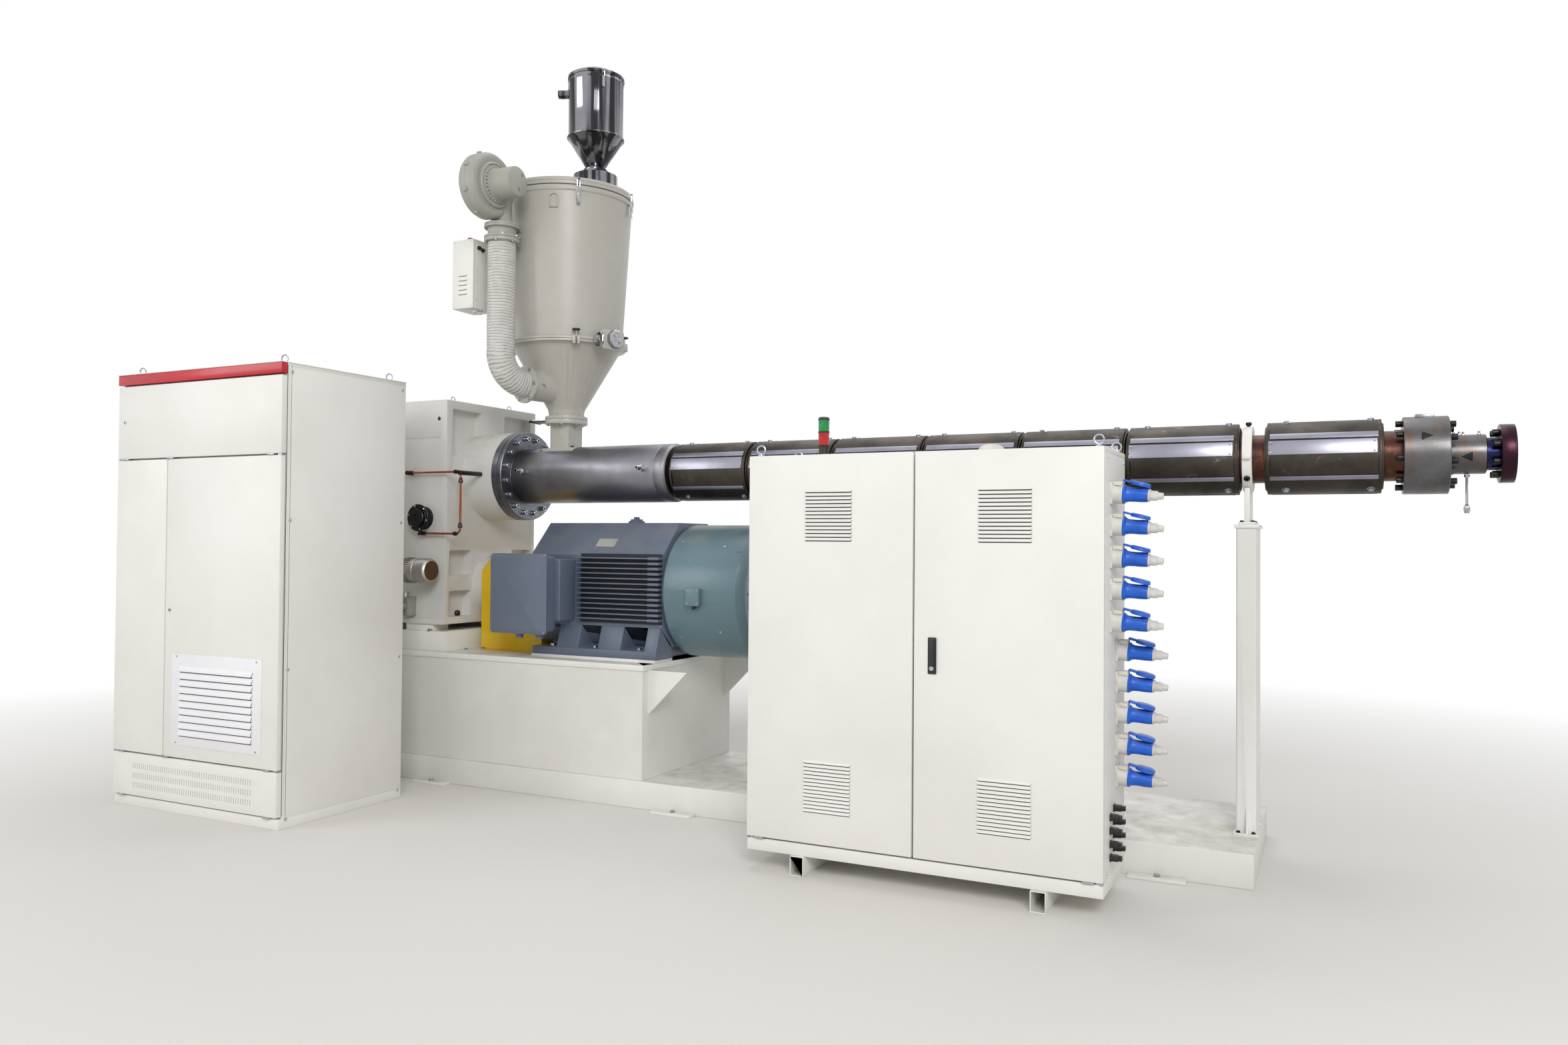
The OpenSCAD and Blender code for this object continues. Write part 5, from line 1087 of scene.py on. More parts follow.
def ductTree():
    # a pipe along the path, wound with tape: each turn bulges a little and no turn is quite like the next
    tree, given = startTree("woundDuct", {"Path": "Geometry", "Radius": "Float", "Pitch": "Float",
        "Bulge": "Float", "Finish": "Material"}, "Duct")
    path = addNode(tree, "GeometryNodeMeshToCurve", {}, {0: given["Path"]})
    fine = addNode(tree, "GeometryNodeResampleCurve", {"mode": "LENGTH", "Length": 0.0018},
                   {"Curve": path.outputs[0]})
    circle = addNode(tree, "GeometryNodeCurvePrimitiveCircle", {"Resolution": 40}, {"Radius": given["Radius"]})
    caught = []
    for curve, label, measure in ((fine, "run", "Length"), (circle, "turn", "Factor")):
        caught.append(addNode(tree, "GeometryNodeCaptureAttribute", {}, {"Geometry": curve.outputs[0]}))
        caught[-1].capture_items.new("FLOAT", label)
        spline = addNode(tree, "GeometryNodeSplineParameter")
        tree.links.new(spline.outputs[measure], caught[-1].inputs[label])
    along, around = (node.outputs for node in caught)
    pipe = addNode(tree, "GeometryNodeCurveToMesh", {"Fill Caps": True},
                   {"Curve": along["Geometry"], "Profile Curve": around["Geometry"]})
    place = addNode(tree, "GeometryNodeInputPosition").outputs[0]
    wander = noise(tree, place, 22, 3, 0.5)
    slow = noise(tree, place, 9, 2, 0.5)
    phase = joined(tree, joined(tree, along["run"], given["Pitch"], "DIVIDE"), around["turn"], "ADD")
    half = addNode(tree, "ShaderNodeMath", {"operation": "MULTIPLY", 1: math.pi},
                   {0: joined(tree, phase, wander, "ADD")})
    wave = addNode(tree, "ShaderNodeMath", {"operation": "SINE"}, {0: half.outputs[0]})
    ridge = addNode(tree, "ShaderNodeMath", {"operation": "ABSOLUTE"}, {0: wave.outputs[0]}).outputs[0]
    height = joined(tree, joined(tree, ridge, ranged(tree, wander, 0.3, 0.7, 0.4, 1.0)),
                    joined(tree, slow, slow, "ADD"), "ADD")
    lift = joined(tree, joined(tree, height, given["Bulge"]), given["Bulge"], "SUBTRACT")
    normal = addNode(tree, "GeometryNodeInputNormal")
    offset = addNode(tree, "ShaderNodeVectorMath", {"operation": "SCALE"},
                     {0: normal.outputs[0], "Scale": lift})
    kept = addNode(tree, "GeometryNodeStoreNamedAttribute",
                   {"data_type": "FLOAT", "domain": "POINT", "Name": "ridge"},
                   {"Geometry": pipe.outputs[0], "Value": ridge})
    moved = addNode(tree, "GeometryNodeSetPosition", {},
                    {"Geometry": kept.outputs[0], "Offset": offset.outputs[0]})
    return endTree(tree, moved, given["Finish"])


# the laps of the tape lie in shade and gather dust
tree = finishes["duct_wrap"].node_tree
skin = tree.nodes["Principled BSDF"].inputs["Base Color"]
ridge = addNode(tree, "ShaderNodeAttribute", {"attribute_name": "ridge"}).outputs["Fac"]
tree.links.new(mixed(tree, ranged(tree, ridge, 0.08, 0.5), "8E8C86", skin.links[0].from_socket), skin)
inward = Vector((v["x"] - u["x"], -u["y"], 0)).normalized()
corner = Vector((u["x"], u["y"], u["z0"]))
path = [Vector((u["x"], u["y"], u["z1"] - 0.019 - 0.02 * i)) for i in range(31)]
path = [p for p in path if p.z > u["z0"] + 0.004]
path += [corner + inward * u["bend"] * (1 - math.cos(t)) - Vector((0, 0, u["bend"] * math.sin(t)))
         for t in (math.pi / 2 * i / 24 for i in range(25))]
pathMesh = bpy.data.meshes.new("ductPath")
pathMesh.from_pydata(path, [(i, i + 1) for i in range(len(path) - 1)], [])
wound = runTree(ductTree(), pathMesh, {"Radius": u["radius"], "Pitch": u["pitch"], "Bulge": u["bulge"],
    "Finish": finishes["duct_wrap"]})
finishMesh("woundHotAirDuct", wound, finishes["duct_wrap"], "machine", ("hot_air_duct",), 180)
print("dryer dressed")

# dryer control box: folded body, lift-off front with louvres, red beacon, glands and two arms to the drum
dryerBox = {"low": (0.078, -0.45, 2.67), "high": (0.228, -0.27, 3.06), "louvres": 5, "pitch": 0.026}
w = dryerBox
(x0, y0, z0), (x1, y1, z1) = w["low"], w["high"]
bm = bmesh.new()
addBlock(bm, (x0, y0 + 0.016, z0), (x1, y1, z1), 0.0035)
addBlock(bm, (x0, y0, z0), (x1, y0 + 0.0145, z1), 0.004, segments=3)
addBlock(bm, (x0 + 0.003, y0 + 0.012, z0 + 0.003), (x1 - 0.003, y0 + 0.02, z1 - 0.003), 0)
for z in (z0 + 0.06, z0 + 0.29):
    end = v["x"] - math.sqrt(drumRadius(z + 0.025) ** 2 - 0.28 ** 2) - 0.0004
    addBlock(bm, (x1 - 0.001, -0.31, z), (end, -0.25, z + 0.025), 0.002)
    addBlock(bm, (x1 - 0.0005, -0.33, z - 0.008), (x1 + 0.003, -0.272, z + 0.033), 0.001)
keepPiece("dryerBoxShell", bm, "cabinet_paint", replaces=("dryer_control_box",))
patternShape("boxLouvre", *louvreBlade(0.058, 0.007, 0.0045))
patternShape("boxSlit", paintedShadeSlit(0.056, 0.0095))
spots = [(((x0 + x1) / 2, y0, z0 + 0.19 - w["pitch"] * i), toTop, toRight) for i in range(w["louvres"])]
repeat("boxLouvres", "boxLouvre", spots, "cabinet_paint")
# painted shade under each louvre, in black
repeat("boxSlits", "boxSlit", spots, "black_plastic")
boxScrews = [((x1, y, z), toRight) for y in (-0.418, -0.33, -0.292)
             for z in (z0 + 0.05, z0 + 0.15, z0 + 0.21, z0 + 0.34)]
boxScrews += [((x, y0 - 0.0002, z), toFront) for x in (x0 + 0.012, x1 - 0.012)
              for z in (z0 + 0.014, z1 - 0.014)]
fasten("boxScrews", "pan", 0.0032, boxScrews, "zinc_plate", seed=12)
assembled("boxGrommets", "black_plastic",
          [(addTurned, placeAt((x1, y, z), toRight),
            mm((0, -1), (12.5, -1), (12.5, 4), (9, 6), (9, 13), (4.5, 16), (4, 8), (0, 8)), 14)
           for y, z in ((-0.405, z1 - 0.045), (-0.375, z1 - 0.052))])
assembled("boxGlands", "socket_plastic",
          [(addTurned, placeAt((x, y, z0), toFloor),
            mm((0, -1), (15.5, -1), (15.5, 6), (12, 7), (12, 18), (8, 22), (6.5, 22), (6, 14), (0, 14)), 10)
           for x, y in ((x1 - 0.026, y0 + 0.045), (x1 - 0.03, y0 + 0.095))], smooth=20)
turned("beaconDome", "lamp_plastic", ((x0 + x1) / 2, y0 + 0.06, z1 - 0.0005), toTop,
       mm((0, 0), (19.5, 0), (19.5, 4), (18, 5), (18, 16), (15.5, 22), (10, 25), (0, 25.8)), 28,
       finish=lensPlastic("redBeaconLens", "D8121A", "960A10"), replaces=("dryer_control_box",))

# vacuum loader: polished drum and cone with rolled beads, lid with clips, inlet spigot, mirror seat
loader = {"x": 0.644, "y": 0.12, "seat": 3.4103, "cone": 3.5503, "drum": 3.7403, "top": 4.0853, "clips": 3}
w = loader
foot = (w["x"], w["y"], 0)
turned("loaderSeatShell", "polished_steel", foot, toTop,
       [(0, w["seat"]), (0.15, w["seat"]), (0.15, w["seat"] + 0.006), (0.147, w["seat"] + 0.008),
        (0.1315, w["seat"] + 0.0085), (0.13, w["seat"] + 0.011), (0.13, w["cone"] - 0.036),
        (0.128, w["cone"] - 0.031), (0.077, w["cone"] - 0.017), (0.075, w["cone"] - 0.014),
        (0.075, w["cone"] - 0.0015), (0.073, w["cone"] - 0.0003), (0, w["cone"] - 0.0003)], 96,
       replaces=("loader_seat",))
turned("loaderShell", "polished_steel", foot, toTop, [(0.049, w["cone"]), (0.067, w["cone"]),
    (0.069, w["cone"] + 0.002), (0.069, w["cone"] + 0.006), (0.067, w["cone"] + 0.008),
    (0.056, w["cone"] + 0.0085), (0.055, w["cone"] + 0.014), (0.1565, w["drum"] - 0.0125),
    (0.16, w["drum"] - 0.0105), (0.165, w["drum"] - 0.0085), (0.168, w["drum"] - 0.004),
    (0.168, w["drum"] - 0.0015), (0.1655, w["drum"] + 0.0015), (0.161, w["drum"] + 0.0035),
    (0.16, w["drum"] + 0.006), (0.16, w["top"] - 0.03), (0.1625, w["top"] - 0.026), (0.164, w["top"] - 0.022),
    (0.1625, w["top"] - 0.018), (0.16, w["top"] - 0.014), (0.1605, w["top"] - 0.0004),
    (0.154, w["top"] - 0.0004), (0.154, w["drum"] - 0.006), (0.049, w["cone"] + 0.018)], 96,
       replaces=("loader_body",))
turned("loaderLidShell", "polished_steel", (w["x"], w["y"], w["top"]), toTop,
       mm((0, 0), (164, 0), (166, 1.5), (166, 14), (163.5, 17), (150, 25.5), (138, 32.5), (120, 36), (62, 40),
          (60, 42), (60, 61), (57.5, 64), (50, 65.8), (0, 66)), 96, replaces=("loader_lid",))
out = bearing(math.radians(200))
inlet = Vector((w["x"], w["y"], w["top"] - 0.07)) + out * 0.157
turned("loaderInlet", "polished_steel", inlet, out, mm((22, 0), (34, 0), (34, 5.5), (25.5, 6.5), (25, 12),
    (25, 50), (26.2, 53), (26.2, 58), (25, 61), (25, 69.5), (22.2, 70)), 40, replaces=("loader_body",))
clips = [(Vector((w["x"], w["y"], w["top"] - 0.034)) + out * 0.1603, out, toTop)
         for out in map(bearing, turns(w["clips"], math.radians(-40)))]
repeat("loaderClips", "toggleLatch", clips, "chrome_plate", size=0.72)
print("loader dressed")

# gearbox: cast housing, machined flange with cap screws, filter, oil pump and copper pipes
gearbox = {"half": 0.395, "low": line["gearLow"], "top": line["gearTop"], "bossEnd": 0.21, "boltCircle": 0.221,
           "bolts": 16}
w = gearbox
softenAll({"gearbox_housing": 0.0055, "gearbox_riser": 0.002, "bed_box": 0.003, "bed_plinth": 0.003,
           "foot_plates": 0.002, "coupling_guard": 0.0035, "barrel_post": 0.003, "motor_fan_cowl": 0.002,
           "motor_body": 0.0028})
# dark satin steel with fine turning marks, oily in places
flangeSteel = bareMetal("satinMachinedFlange", colour="7C7D83", shade="606167", marks=80,
                        stretch=(16, 0.6, 0.6), rough=0.38, spread=0.08, relief=0.00006, stain="7D7468",
                        stainScale=7, stainFrom=0.62)
turned("barrelFlangeRing", "machined_steel", (w["bossEnd"], 0, line["barrelZ"]), toRight,
       mm((0, 0.2), (258.5, 0.2), (260, 2), (260, 37.5), (258.5, 38.5), (257, 38.5), (257, 39.5), (259.5, 40),
          (260, 41.5), (260, 66.5), (256.5, 70), (179, 70), (178, 68.5), (173.5, 68.5), (172.5, 70), (0, 70)),
       128, finish=flangeSteel, replaces=("barrel_flange",))
bolts = ring((w["bossEnd"] + 0.07, 0, line["barrelZ"]), w["boltCircle"], w["bolts"], toRight, 0, 0.16)
patternShape("capScrew",
             (addTurned, Matrix(), mm((0, -1), (16.5, -1), (16.5, 2.5), (0, 2.5)), 14),
             (addTurned, Matrix(),
              mm((0, 2), (13.8, 2), (14.2, 3), (14.2, 20.5), (13, 22), (8.2, 22), (7.8, 12), (0, 11.2)), 14))
repeat("flangeCapScrews", "capScrew", bolts, "zinc_plate", spin=6.283)
assembled("gearboxPlugs", "black_plastic",
          [(addTurned, placeAt((-0.0575, -w["half"], 2.0624), toFront),
            mm((0, 0.2), (10.5, 0.2), (11.5, 1.2), (0, 1.4)), 16),
           (addTurned, placeAt((-0.055, -0.237, 0.935), toRight),
            mm((0, -1), (19, -1), (19, 12), (13, 18), (0, 19)), 12)])
# lifting eyes and an inspection cover on the casting
for label, y in (("Front", -0.25), ("Rear", 0.25)):
    eyes = [((x, y, w["top"]), toTop, toRight) for x in (-0.86, -0.09)]
    repeat("liftingEyes" + label, "eyeBolt", eyes, "zinc_plate", size=0.8)
assembled("gearboxCover", "casting_paint",
          [(addBlock, (-0.7, -0.17, w["top"] - 0.001), (-0.3, 0.17, w["top"] + 0.009), 0.002),
           (addTurned, Matrix.Translation((-0.5, 0, w["top"] + 0.008)),
            mm((0, 0), (35, 0), (35, 12), (28, 22), (0, 24)), 24)])
coverBolts = [((x, y, w["top"] + 0.009), toTop) for x in (-0.68, -0.5, -0.32) for y in (-0.15, 0.15)]
footBolts = [((x, side * (w["half"] + 0.008), w["low"] - 0.0398), toTop) for x in (-0.85, -0.475, -0.1)
             for side in (-1, 1)]
guardBolts = [((x, side * 0.216, 0.7352), toTop) for x in (0.13, 0.5) for side in (-1, 1)]
bedBolts = [((x, -0.276, 0.73), toTop) for x in (0.0, 0.055)]
fasten("gearboxBolts", "hex", 0.0125, coverBolts + guardBolts + bedBolts, "zinc_plate", seed=13)
fasten("gearboxFootBolts", "hex", 0.018, footBolts, "zinc_plate", seed=14)

oilFilter = {"x": -0.16, "z": 1.49}
u = oilFilter
place = placeAt((u["x"], -w["half"], u["z"]), toFront)
assembled("oilFilterHousing", "dark_casting",
          [(addTurned, place, mm((0, 0), (66, 0), (66, 10), (63, 12), (63, 40), (66, 44), (76.5, 45), (78, 47),
                                 (78, 55.5), (76.5, 57), (64, 57.5), (62, 60), (60, 60), (59, 57.5), (54, 57.5),
                                 (53, 66), (49, 69.5), (20, 70), (18, 66), (0, 66)), 48),
           (addTurned, placeAt((u["x"], -w["half"] - 0.035, u["z"] - 0.1), toTop),
            mm((0, 0), (12, 0), (13, 2), (13, 12), (10, 14), (10, 38), (0, 38)), 16)], replaces=("oil_filter",))
fasten("filterBolts", "hex", 0.0062, ring((u["x"], -w["half"] - 0.0572, u["z"]), 0.069, 6, toFront, 0, 0.3),
       "zinc_plate", seed=15)
pump = {"y": -0.5, "z": 1.19, "length": 0.21}
u = pump
place = placeAt((-u["length"], u["y"], u["z"]), toRight)
assembled("pumpMotorShell", "bare_aluminium", [
    (addTurned, place,
     mm((0, 0), (58, 0), (66, 4), (68, 10), (68, 95), (70, 97), (70, 118), (68, 120), (65.5, 120), (65.5, 128),
        (68, 128), (70, 130), (70, 188), (67, 199), (58, 205), (56.5, 207.5), (0, 207.5)), 48),
    (addBlock, (-0.15, u["y"], u["z"] - 0.03), (-0.09, -w["half"], u["z"] + 0.03), 0.004)],
          replaces=("oil_pump_motor",))
patternShape("pumpRib", (addBlock, (-0.029, -0.0016, -0.002), (0.029, 0.0016, 0.0062), 0.0006, None, 1))
ribs = [(Vector((-0.155, u["y"], u["z"])) + out * 0.068, out, toRight) for out in map(spoke, turns(34))]
repeat("pumpRibs", "pumpRib", ribs, "bare_aluminium", replaces=("oil_pump_motor",))
patternShape("pumpHole", (addTurned, Matrix(), mm((0, -0.5), (2.4, -0.5), (2.4, 0.3), (0, 0.3)), 6))
grid = [(y * 0.0078, (z + 0.5 * (y % 2)) * 0.0088) for y in range(-6, 7) for z in range(-6, 7)]
holes = [((-0.0022, u["y"] + y, u["z"] + z), toRight) for y, z in grid if math.hypot(y, z) < 0.051]
# cover gone brown with rust
rustyCover = enamel("rustedPumpGrille", colour="5A3D26", shade="3A2A1E", dirt="8A6A48", dust=0.2, speck=0.6,
                    rough=0.6, grain=2, relief=0.0002)
# painted shade: black discs on the cover where its holes are
repeat("pumpGrille", "pumpHole", holes, "black_plastic")
turned("pumpCover", "bare_aluminium", (-0.0031, u["y"], u["z"]), toRight,
       mm((0, 0.2), (54.8, 0.2), (54.8, 0.8), (0, 0.8)), 40, finish=rustyCover)
softenEdges("oil_gear_pump", 0.006, 3)
pumpBolts = [((-0.26 + x, -w["half"] - 0.07, 0.98 + z), toFront) for x in (-0.033, 0.033)
             for z in (-0.042, 0.042)]
fasten("gearPumpBolts", "socket", 0.0075, pumpBolts, "zinc_plate", seed=16)
pipe = {"y": -0.425, "riserX": 0.135, "low": 1.4, "high": 1.751}
unions = [((x, pipe["y"], z), out) for x, z, out in ((0.1, pipe["low"], toRight),
    (-0.135, pipe["low"], toRight), (pipe["riserX"], 1.445, toTop), (pipe["riserX"], 1.7, toTop),
    (0.1, pipe["high"], toRight), (-0.235, pipe["high"], toRight))]
patternShape("pipeUnion",
             (addTurned, Matrix(), mm((6.2, -13), (11.5, -13), (12.5, -11), (12.5, 4), (11, 6), (6.2, 6)), 6),
             (addTurned, Matrix(), mm((6.2, 5), (9.5, 5), (9.5, 14), (6.2, 16)), 12))
repeat("pipeUnions", "pipeUnion", unions, "dark_casting")
bm = bmesh.new()
for x, y, z in ((pipe["riserX"], -0.2606, line["barrelZ"]),
                (-0.26, -w["half"] - 0.0006, line["barrelZ"] + 0.006)):
    reach = y - pipe["y"]
    addTurned(bm, placeAt((x, y, z), toFront), [(0, 0), (0.0125, 0), (0.0132, 0.001), (0.0132, reach + 0.012),
        (0.0115, reach + 0.014), (0, reach + 0.014)], 20)
keepPiece("housingUnions", bm, "dark_casting")
gateLow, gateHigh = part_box("slide_gate")
lipX = gateLow[0] - 0.0004
assembled("gatePullLip", "chrome_plate",
          [(addBlock, (lipX, gateLow[1] + 0.001, gateLow[2] - 0.0025),
            (lipX + 0.0025, gateHigh[1] - 0.001, gateHigh[2] + 0.0035), 0.0008),
           *[(addBlock, (lipX, y, gateHigh[2] - 0.0004), (lipX + 0.075, y + 0.0025, gateHigh[2] + 0.0035),
              0.0008) for y in (gateLow[1] + 0.001, gateHigh[1] - 0.0035)],
           (addBlock, (lipX, gateLow[1] + 0.001, gateHigh[2] - 0.0003),
            (lipX + 0.016, gateHigh[1] - 0.001, gateHigh[2] + 0.001), 0.0004)], body="gate")
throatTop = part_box("hopper_throat")[1][2]
assembled("throatSeam", "black_plastic",
          [(addTurned, placeAt((line["hopperX"], 0, throatTop - 0.0006), toTop),
            mm((115, 0), (122.4, 0), (122.4, 1.6), (115, 1.6)), 72)])
print("gearbox dressed")

# barrel: feed section, nipples, heater shrouds with panels, clamp and post
softenEdges("feed_section", 0.0012)
bm = bmesh.new()
for x in (0.355, 1.18):
    addTurned(bm, placeAt((x, -0.1623, line["barrelZ"] + 0.02), toFront),
              mm((0, 0), (19.5, 0), (20, 2), (20, 14), (18, 16), (0, 16)), 6)
    addTurned(bm, placeAt((x, -0.1623, line["barrelZ"] + 0.02), toFront),
              mm((7.5, 15), (14.5, 15), (14.5, 24), (12, 25), (12, 30), (13.2, 32), (11.2, 40), (13.2, 42),
                 (11.2, 50), (12.5, 52), (10.5, 59.8), (7.5, 59.8)), 20)
keepPiece("hoseNipples", bm, "chrome_plate", replaces=("hose_fittings",), smooth=25)
zones = {"starts": [1.345 + 0.478 * i for i in range(6)] + [4.307], "lengths": [0.458] * 6 + [0.436],
         "bolts": (0.075, 0.04), "boltAngles": (76, -62), "boltR": 0.1535, "rivets": (0.018, 0.028),
         "rivetAngles": (5.5, 21.5), "panelAngle": 13.5, "panelHalf": 8, "panelR": 0.161, "shroudR": 0.1555}
w = zones
softenAll({"heater_shrouds": 0.002, "shroud_panels": 0.0007})
ends = [(x, x + length) for x, length in zip(w["starts"], w["lengths"])]
axis = line["barrelZ"]


def onBarrel(x, angle, radius, side=-1):
    # a point at an angle above the horizontal on one side of the barrel, with the outward direction
    t = math.radians(angle)
    out = Vector((0, side * math.cos(t), math.sin(t)))
    return Vector((x, 0, axis)) + out * radius, out


rivets, screws = [], []
panelLift = w["panelR"] - w["shroudR"] * math.cos(math.radians(w["panelHalf"]))
for low, high in ends:
    for side in (-1, 1):
        flat = onBarrel(0, w["panelAngle"], 0, side)[1]
        for x in (low + w["rivets"][0], high - w["rivets"][1]):
            for angle in w["rivetAngles"]:
                at, out = onBarrel(x, angle, w["shroudR"], side)
                rivets.append((at + flat * panelLift * 0.5, flat))
        for x in (low + w["bolts"][0], high - w["bolts"][1]):
            screws += [onBarrel(x, angle, w["boltR"], side) for angle in w["boltAngles"]]
fasten("shroudRivets", "rivet", 0.0042, rivets, "zinc_plate", seed=17)
fasten("shroudBolts", "hex", 0.015, screws, "zinc_plate", seed=18)
bm = bmesh.new()
for low, high in ends:  # pressed collar at each end, and a folded seam along the top and foot
    for start in (low + 0.0005, high - 0.0125):
        addTurned(bm, placeAt((start, 0, axis), toRight),
                  mm((150, 0), (155.8, 0), (156.2, 1), (156.2, 11), (155.8, 12), (150, 12)), 20, math.pi / 20)
    for turn in (90, -90):
        place = placeAt((low + 0.014, 0, axis + math.copysign(0.1515, turn)), (0, 0, math.copysign(1, turn)),
                        toRight)
        addBlock(bm, (0, -0.006, 0), (high - low - 0.028, 0.006, 0.0045), 0.001, place, 1)
keepPiece("shroudSeams", bm, "shroud_sheet")

clamp = {"x": line["clampX"], "radius": 0.143, "bore": 0.1053, "half": 0.02, "stem": (0.011, 0.1), "top": 1.457}
w = clamp
assembled("clampRing", "bed_paint",
          [(addTurned, placeAt((w["x"] - w["half"], 0, axis), toRight), [(w["bore"], 0), (0.1405, 0),
              (w["radius"], 0.0025), (w["radius"], 0.0375), (0.1405, 0.04), (w["bore"], 0.04)], 72),
           (addBlock, (w["x"] - w["stem"][0], -w["stem"][1], w["top"] + 0.0002),
            (w["x"] + w["stem"][0], w["stem"][1], axis - 0.129), 0.002),
           (addBlock, (w["x"] - 0.034, -w["stem"][1] - 0.02, w["top"] + 0.0002),
            (w["x"] + 0.034, w["stem"][1] + 0.02, w["top"] + 0.012), 0.002),
           *[(addBlock, (w["x"] - 0.016, side * 0.15 - 0.012, axis - 0.008),
              (w["x"] + 0.016, side * 0.15 + 0.012, axis + 0.008), 0.002) for side in (-1, 1)]],
          replaces=("barrel_clamp",))
bm = bmesh.new()
addTurned(bm, placeAt((w["x"], 0, axis + w["radius"] - 0.002), toTop),
          mm((0, 0), (7.5, 0), (7.5, 8), (11.8, 9), (12.5, 11), (12.5, 19.5), (11, 21.5), (5, 22), (0, 21)), 20)
for side in (-1, 1):
    at, out = onBarrel(w["x"], -38, w["radius"] - 0.002, side)
    addTurned(bm, placeAt(at, out),
              mm((0, 0), (12.5, 0), (13, 2), (13, 8), (11.5, 10), (5.5, 10), (5, 4), (0, 4)), 18)
keepPiece("clampScrews", bm, "dark_casting", replaces=("barrel_clamp",))
stemBolts = [((w["x"] + x, y, w["top"] + 0.012), toTop) for x in (-0.022, 0.022) for y in (-0.085, 0.085)]
postBolts = [((w["x"] + x, y, 0.152), toTop) for x in (-0.03, 0.03) for y in (-0.166, 0.166)]
fasten("postBolts", "hex", 0.01, stemBolts + postBolts, "dark_casting", seed=19)

# outlet: stained ring, adapter, dark neck and a flange in temper colours
outlet = {"ring": line["ringX"], "adapter": 4.985, "neck": 5.115, "flange": 5.16, "ringR": 0.16,
          "adapterR": 0.08}
w = outlet
# brushed grey steel, brown where melt has baked on
stainedRing = bareMetal("brushedStainedSteel", colour="6E6E71", shade="575452", marks=70,
                        stretch=(16, 0.6, 0.6), rough=0.34, spread=0.08, relief=0.00006, stain="6A4F3A",
                        stainScale=7, stainFrom=0.52)
assembled("outletRingTurned", "machined_steel",
          [(addTurned, placeAt((w["ring"], 0, axis), toRight),
            mm((0, 0.2), (157.5, 0.2), (160, 3), (160, 162), (157.5, 164.8), (0, 164.8)), 96)],
          finish=stainedRing, replaces=("outlet_ring",))
turned("adapterTurned", "machined_steel", (w["adapter"], 0, axis), toRight,
       mm((30, 0), (79, 0), (80, 1), (80, 127), (77.5, 129.8), (66.5, 130), (30, 130)), 64, finish=stainedRing,
       replaces=("outlet_adapter",))
# heated until the oxide turned blue and violet
blueNeck = bareMetal("blueTemperedSteel", colour="24274A", shade="2E2238", marks=80, stretch=(12, 0.6, 0.6),
                     rough=0.3, spread=0.07, relief=0.00006, stain="4E3A66", stainScale=12, stainFrom=0.5)
turned("adapterNeck", "tempered_steel", (w["neck"], 0, axis), toRight,
       mm((30, 0), (66, 0), (66, 44.5), (30, 44.5)), 64, finish=blueNeck, replaces=("outlet_adapter",))
# temper colours again, here from brown to magenta
softenEdges("outlet_flange", 0.002, finish=bareMetal("magentaTemperedSteel", colour="3E2631", shade="2F2028",
    marks=80, stretch=(12, 0.6, 0.6), rough=0.3, spread=0.07, relief=0.00006, stain="74325E", stainScale=9,
    stainFrom=0.6))


def curvedMark(bm, x, angle, radius, reach, half, steps=8):
    # a thin triangle lying on the barrel's round side, its tip reach away along X
    columns = []
    for i in range(steps + 1):
        t = i / steps
        wide = half * (1 - t) / radius
        row = []
        for j in range(-4, 5):
            turn = math.radians(angle) + wide * j / 4
            out = Vector((0, -math.cos(turn), math.sin(turn)))
            at = Vector((x + reach * (t - 0.5), 0, axis))
            row.append((bm.verts.new(at + out * (radius - 0.0008)), bm.verts.new(at + out * (radius + 0.0004))))
        columns.append(row)
    for low, high in zip(columns, columns[1:]):
        for k in range(8):
            for side in (0, 1):
                bm.faces.new([low[k][side], low[k + 1][side], high[k + 1][side], high[k][side]])
        for k in (0, 8):
            bm.faces.new([low[k][0], low[k][1], high[k][1], high[k][0]])
    for k in range(8):
        bm.faces.new([columns[0][k][0], columns[0][k + 1][0], columns[0][k + 1][1], columns[0][k][1]])
    bmesh.ops.remove_doubles(bm, verts=bm.verts, dist=2e-5)


assembled("flowArrows", "dark_casting",
          [(curvedMark, 4.903, 26, w["ringR"], 0.042, 0.0205),
           (curvedMark, 5.043, -10, w["adapterR"], -0.04, 0.02)], smooth=180)
assembled("ringTopPad", "machined_steel",
          [(addBlock, (4.8655, -0.034, axis + 0.15), (4.9345, 0.034, axis + 0.1685), 0.003)])
bm = bmesh.new()
for x, y in ((5.005, 0.01), (5.022, -0.016), (5.038, 0.012), (5.092, -0.006)):
    foot = placeAt((x, y, axis + math.sqrt(w["adapterR"] ** 2 - y * y) - 0.001), toTop)
    addTurned(bm, foot, mm((0, 0), (5.8, 0), (6, 1), (6, 5.5), (5.2, 6.5), (0, 6.5)), 6)
    addTurned(bm, foot, mm((0, 6), (4, 6), (4, 11), (4.8, 12), (4.4, 15), (2, 16), (0, 16)), 12)
keepPiece("adapterFittings", bm, "chrome_plate")
top = axis - w["adapterR"] - 0.0003
place = placeAt((5.05, 0, top - 0.16), toTop)
assembled("sensorProbe", "chrome_plate", [
    (addTurned, place, mm((0, 1), (8.5, 1), (9.5, 2), (9.5, 10), (0, 10)), 24),
    (addTurned, place, mm((0, 9.5), (11.2, 9.5), (11.8, 11), (11.8, 26.5), (11.2, 28), (0, 28)), 6),
    (addTurned, place, mm((0, 27.5), (8, 27.5), (8, 34), (5.2, 37), (5, 40), (5, 159.8), (0, 159.8)), 20),
    (addTurned, place, mm((0, 147.5), (9.5, 147.5), (10, 149), (10, 157), (9.5, 158.5), (0, 158.5)), 6)],
          replaces=("melt_sensor",), smooth=25)
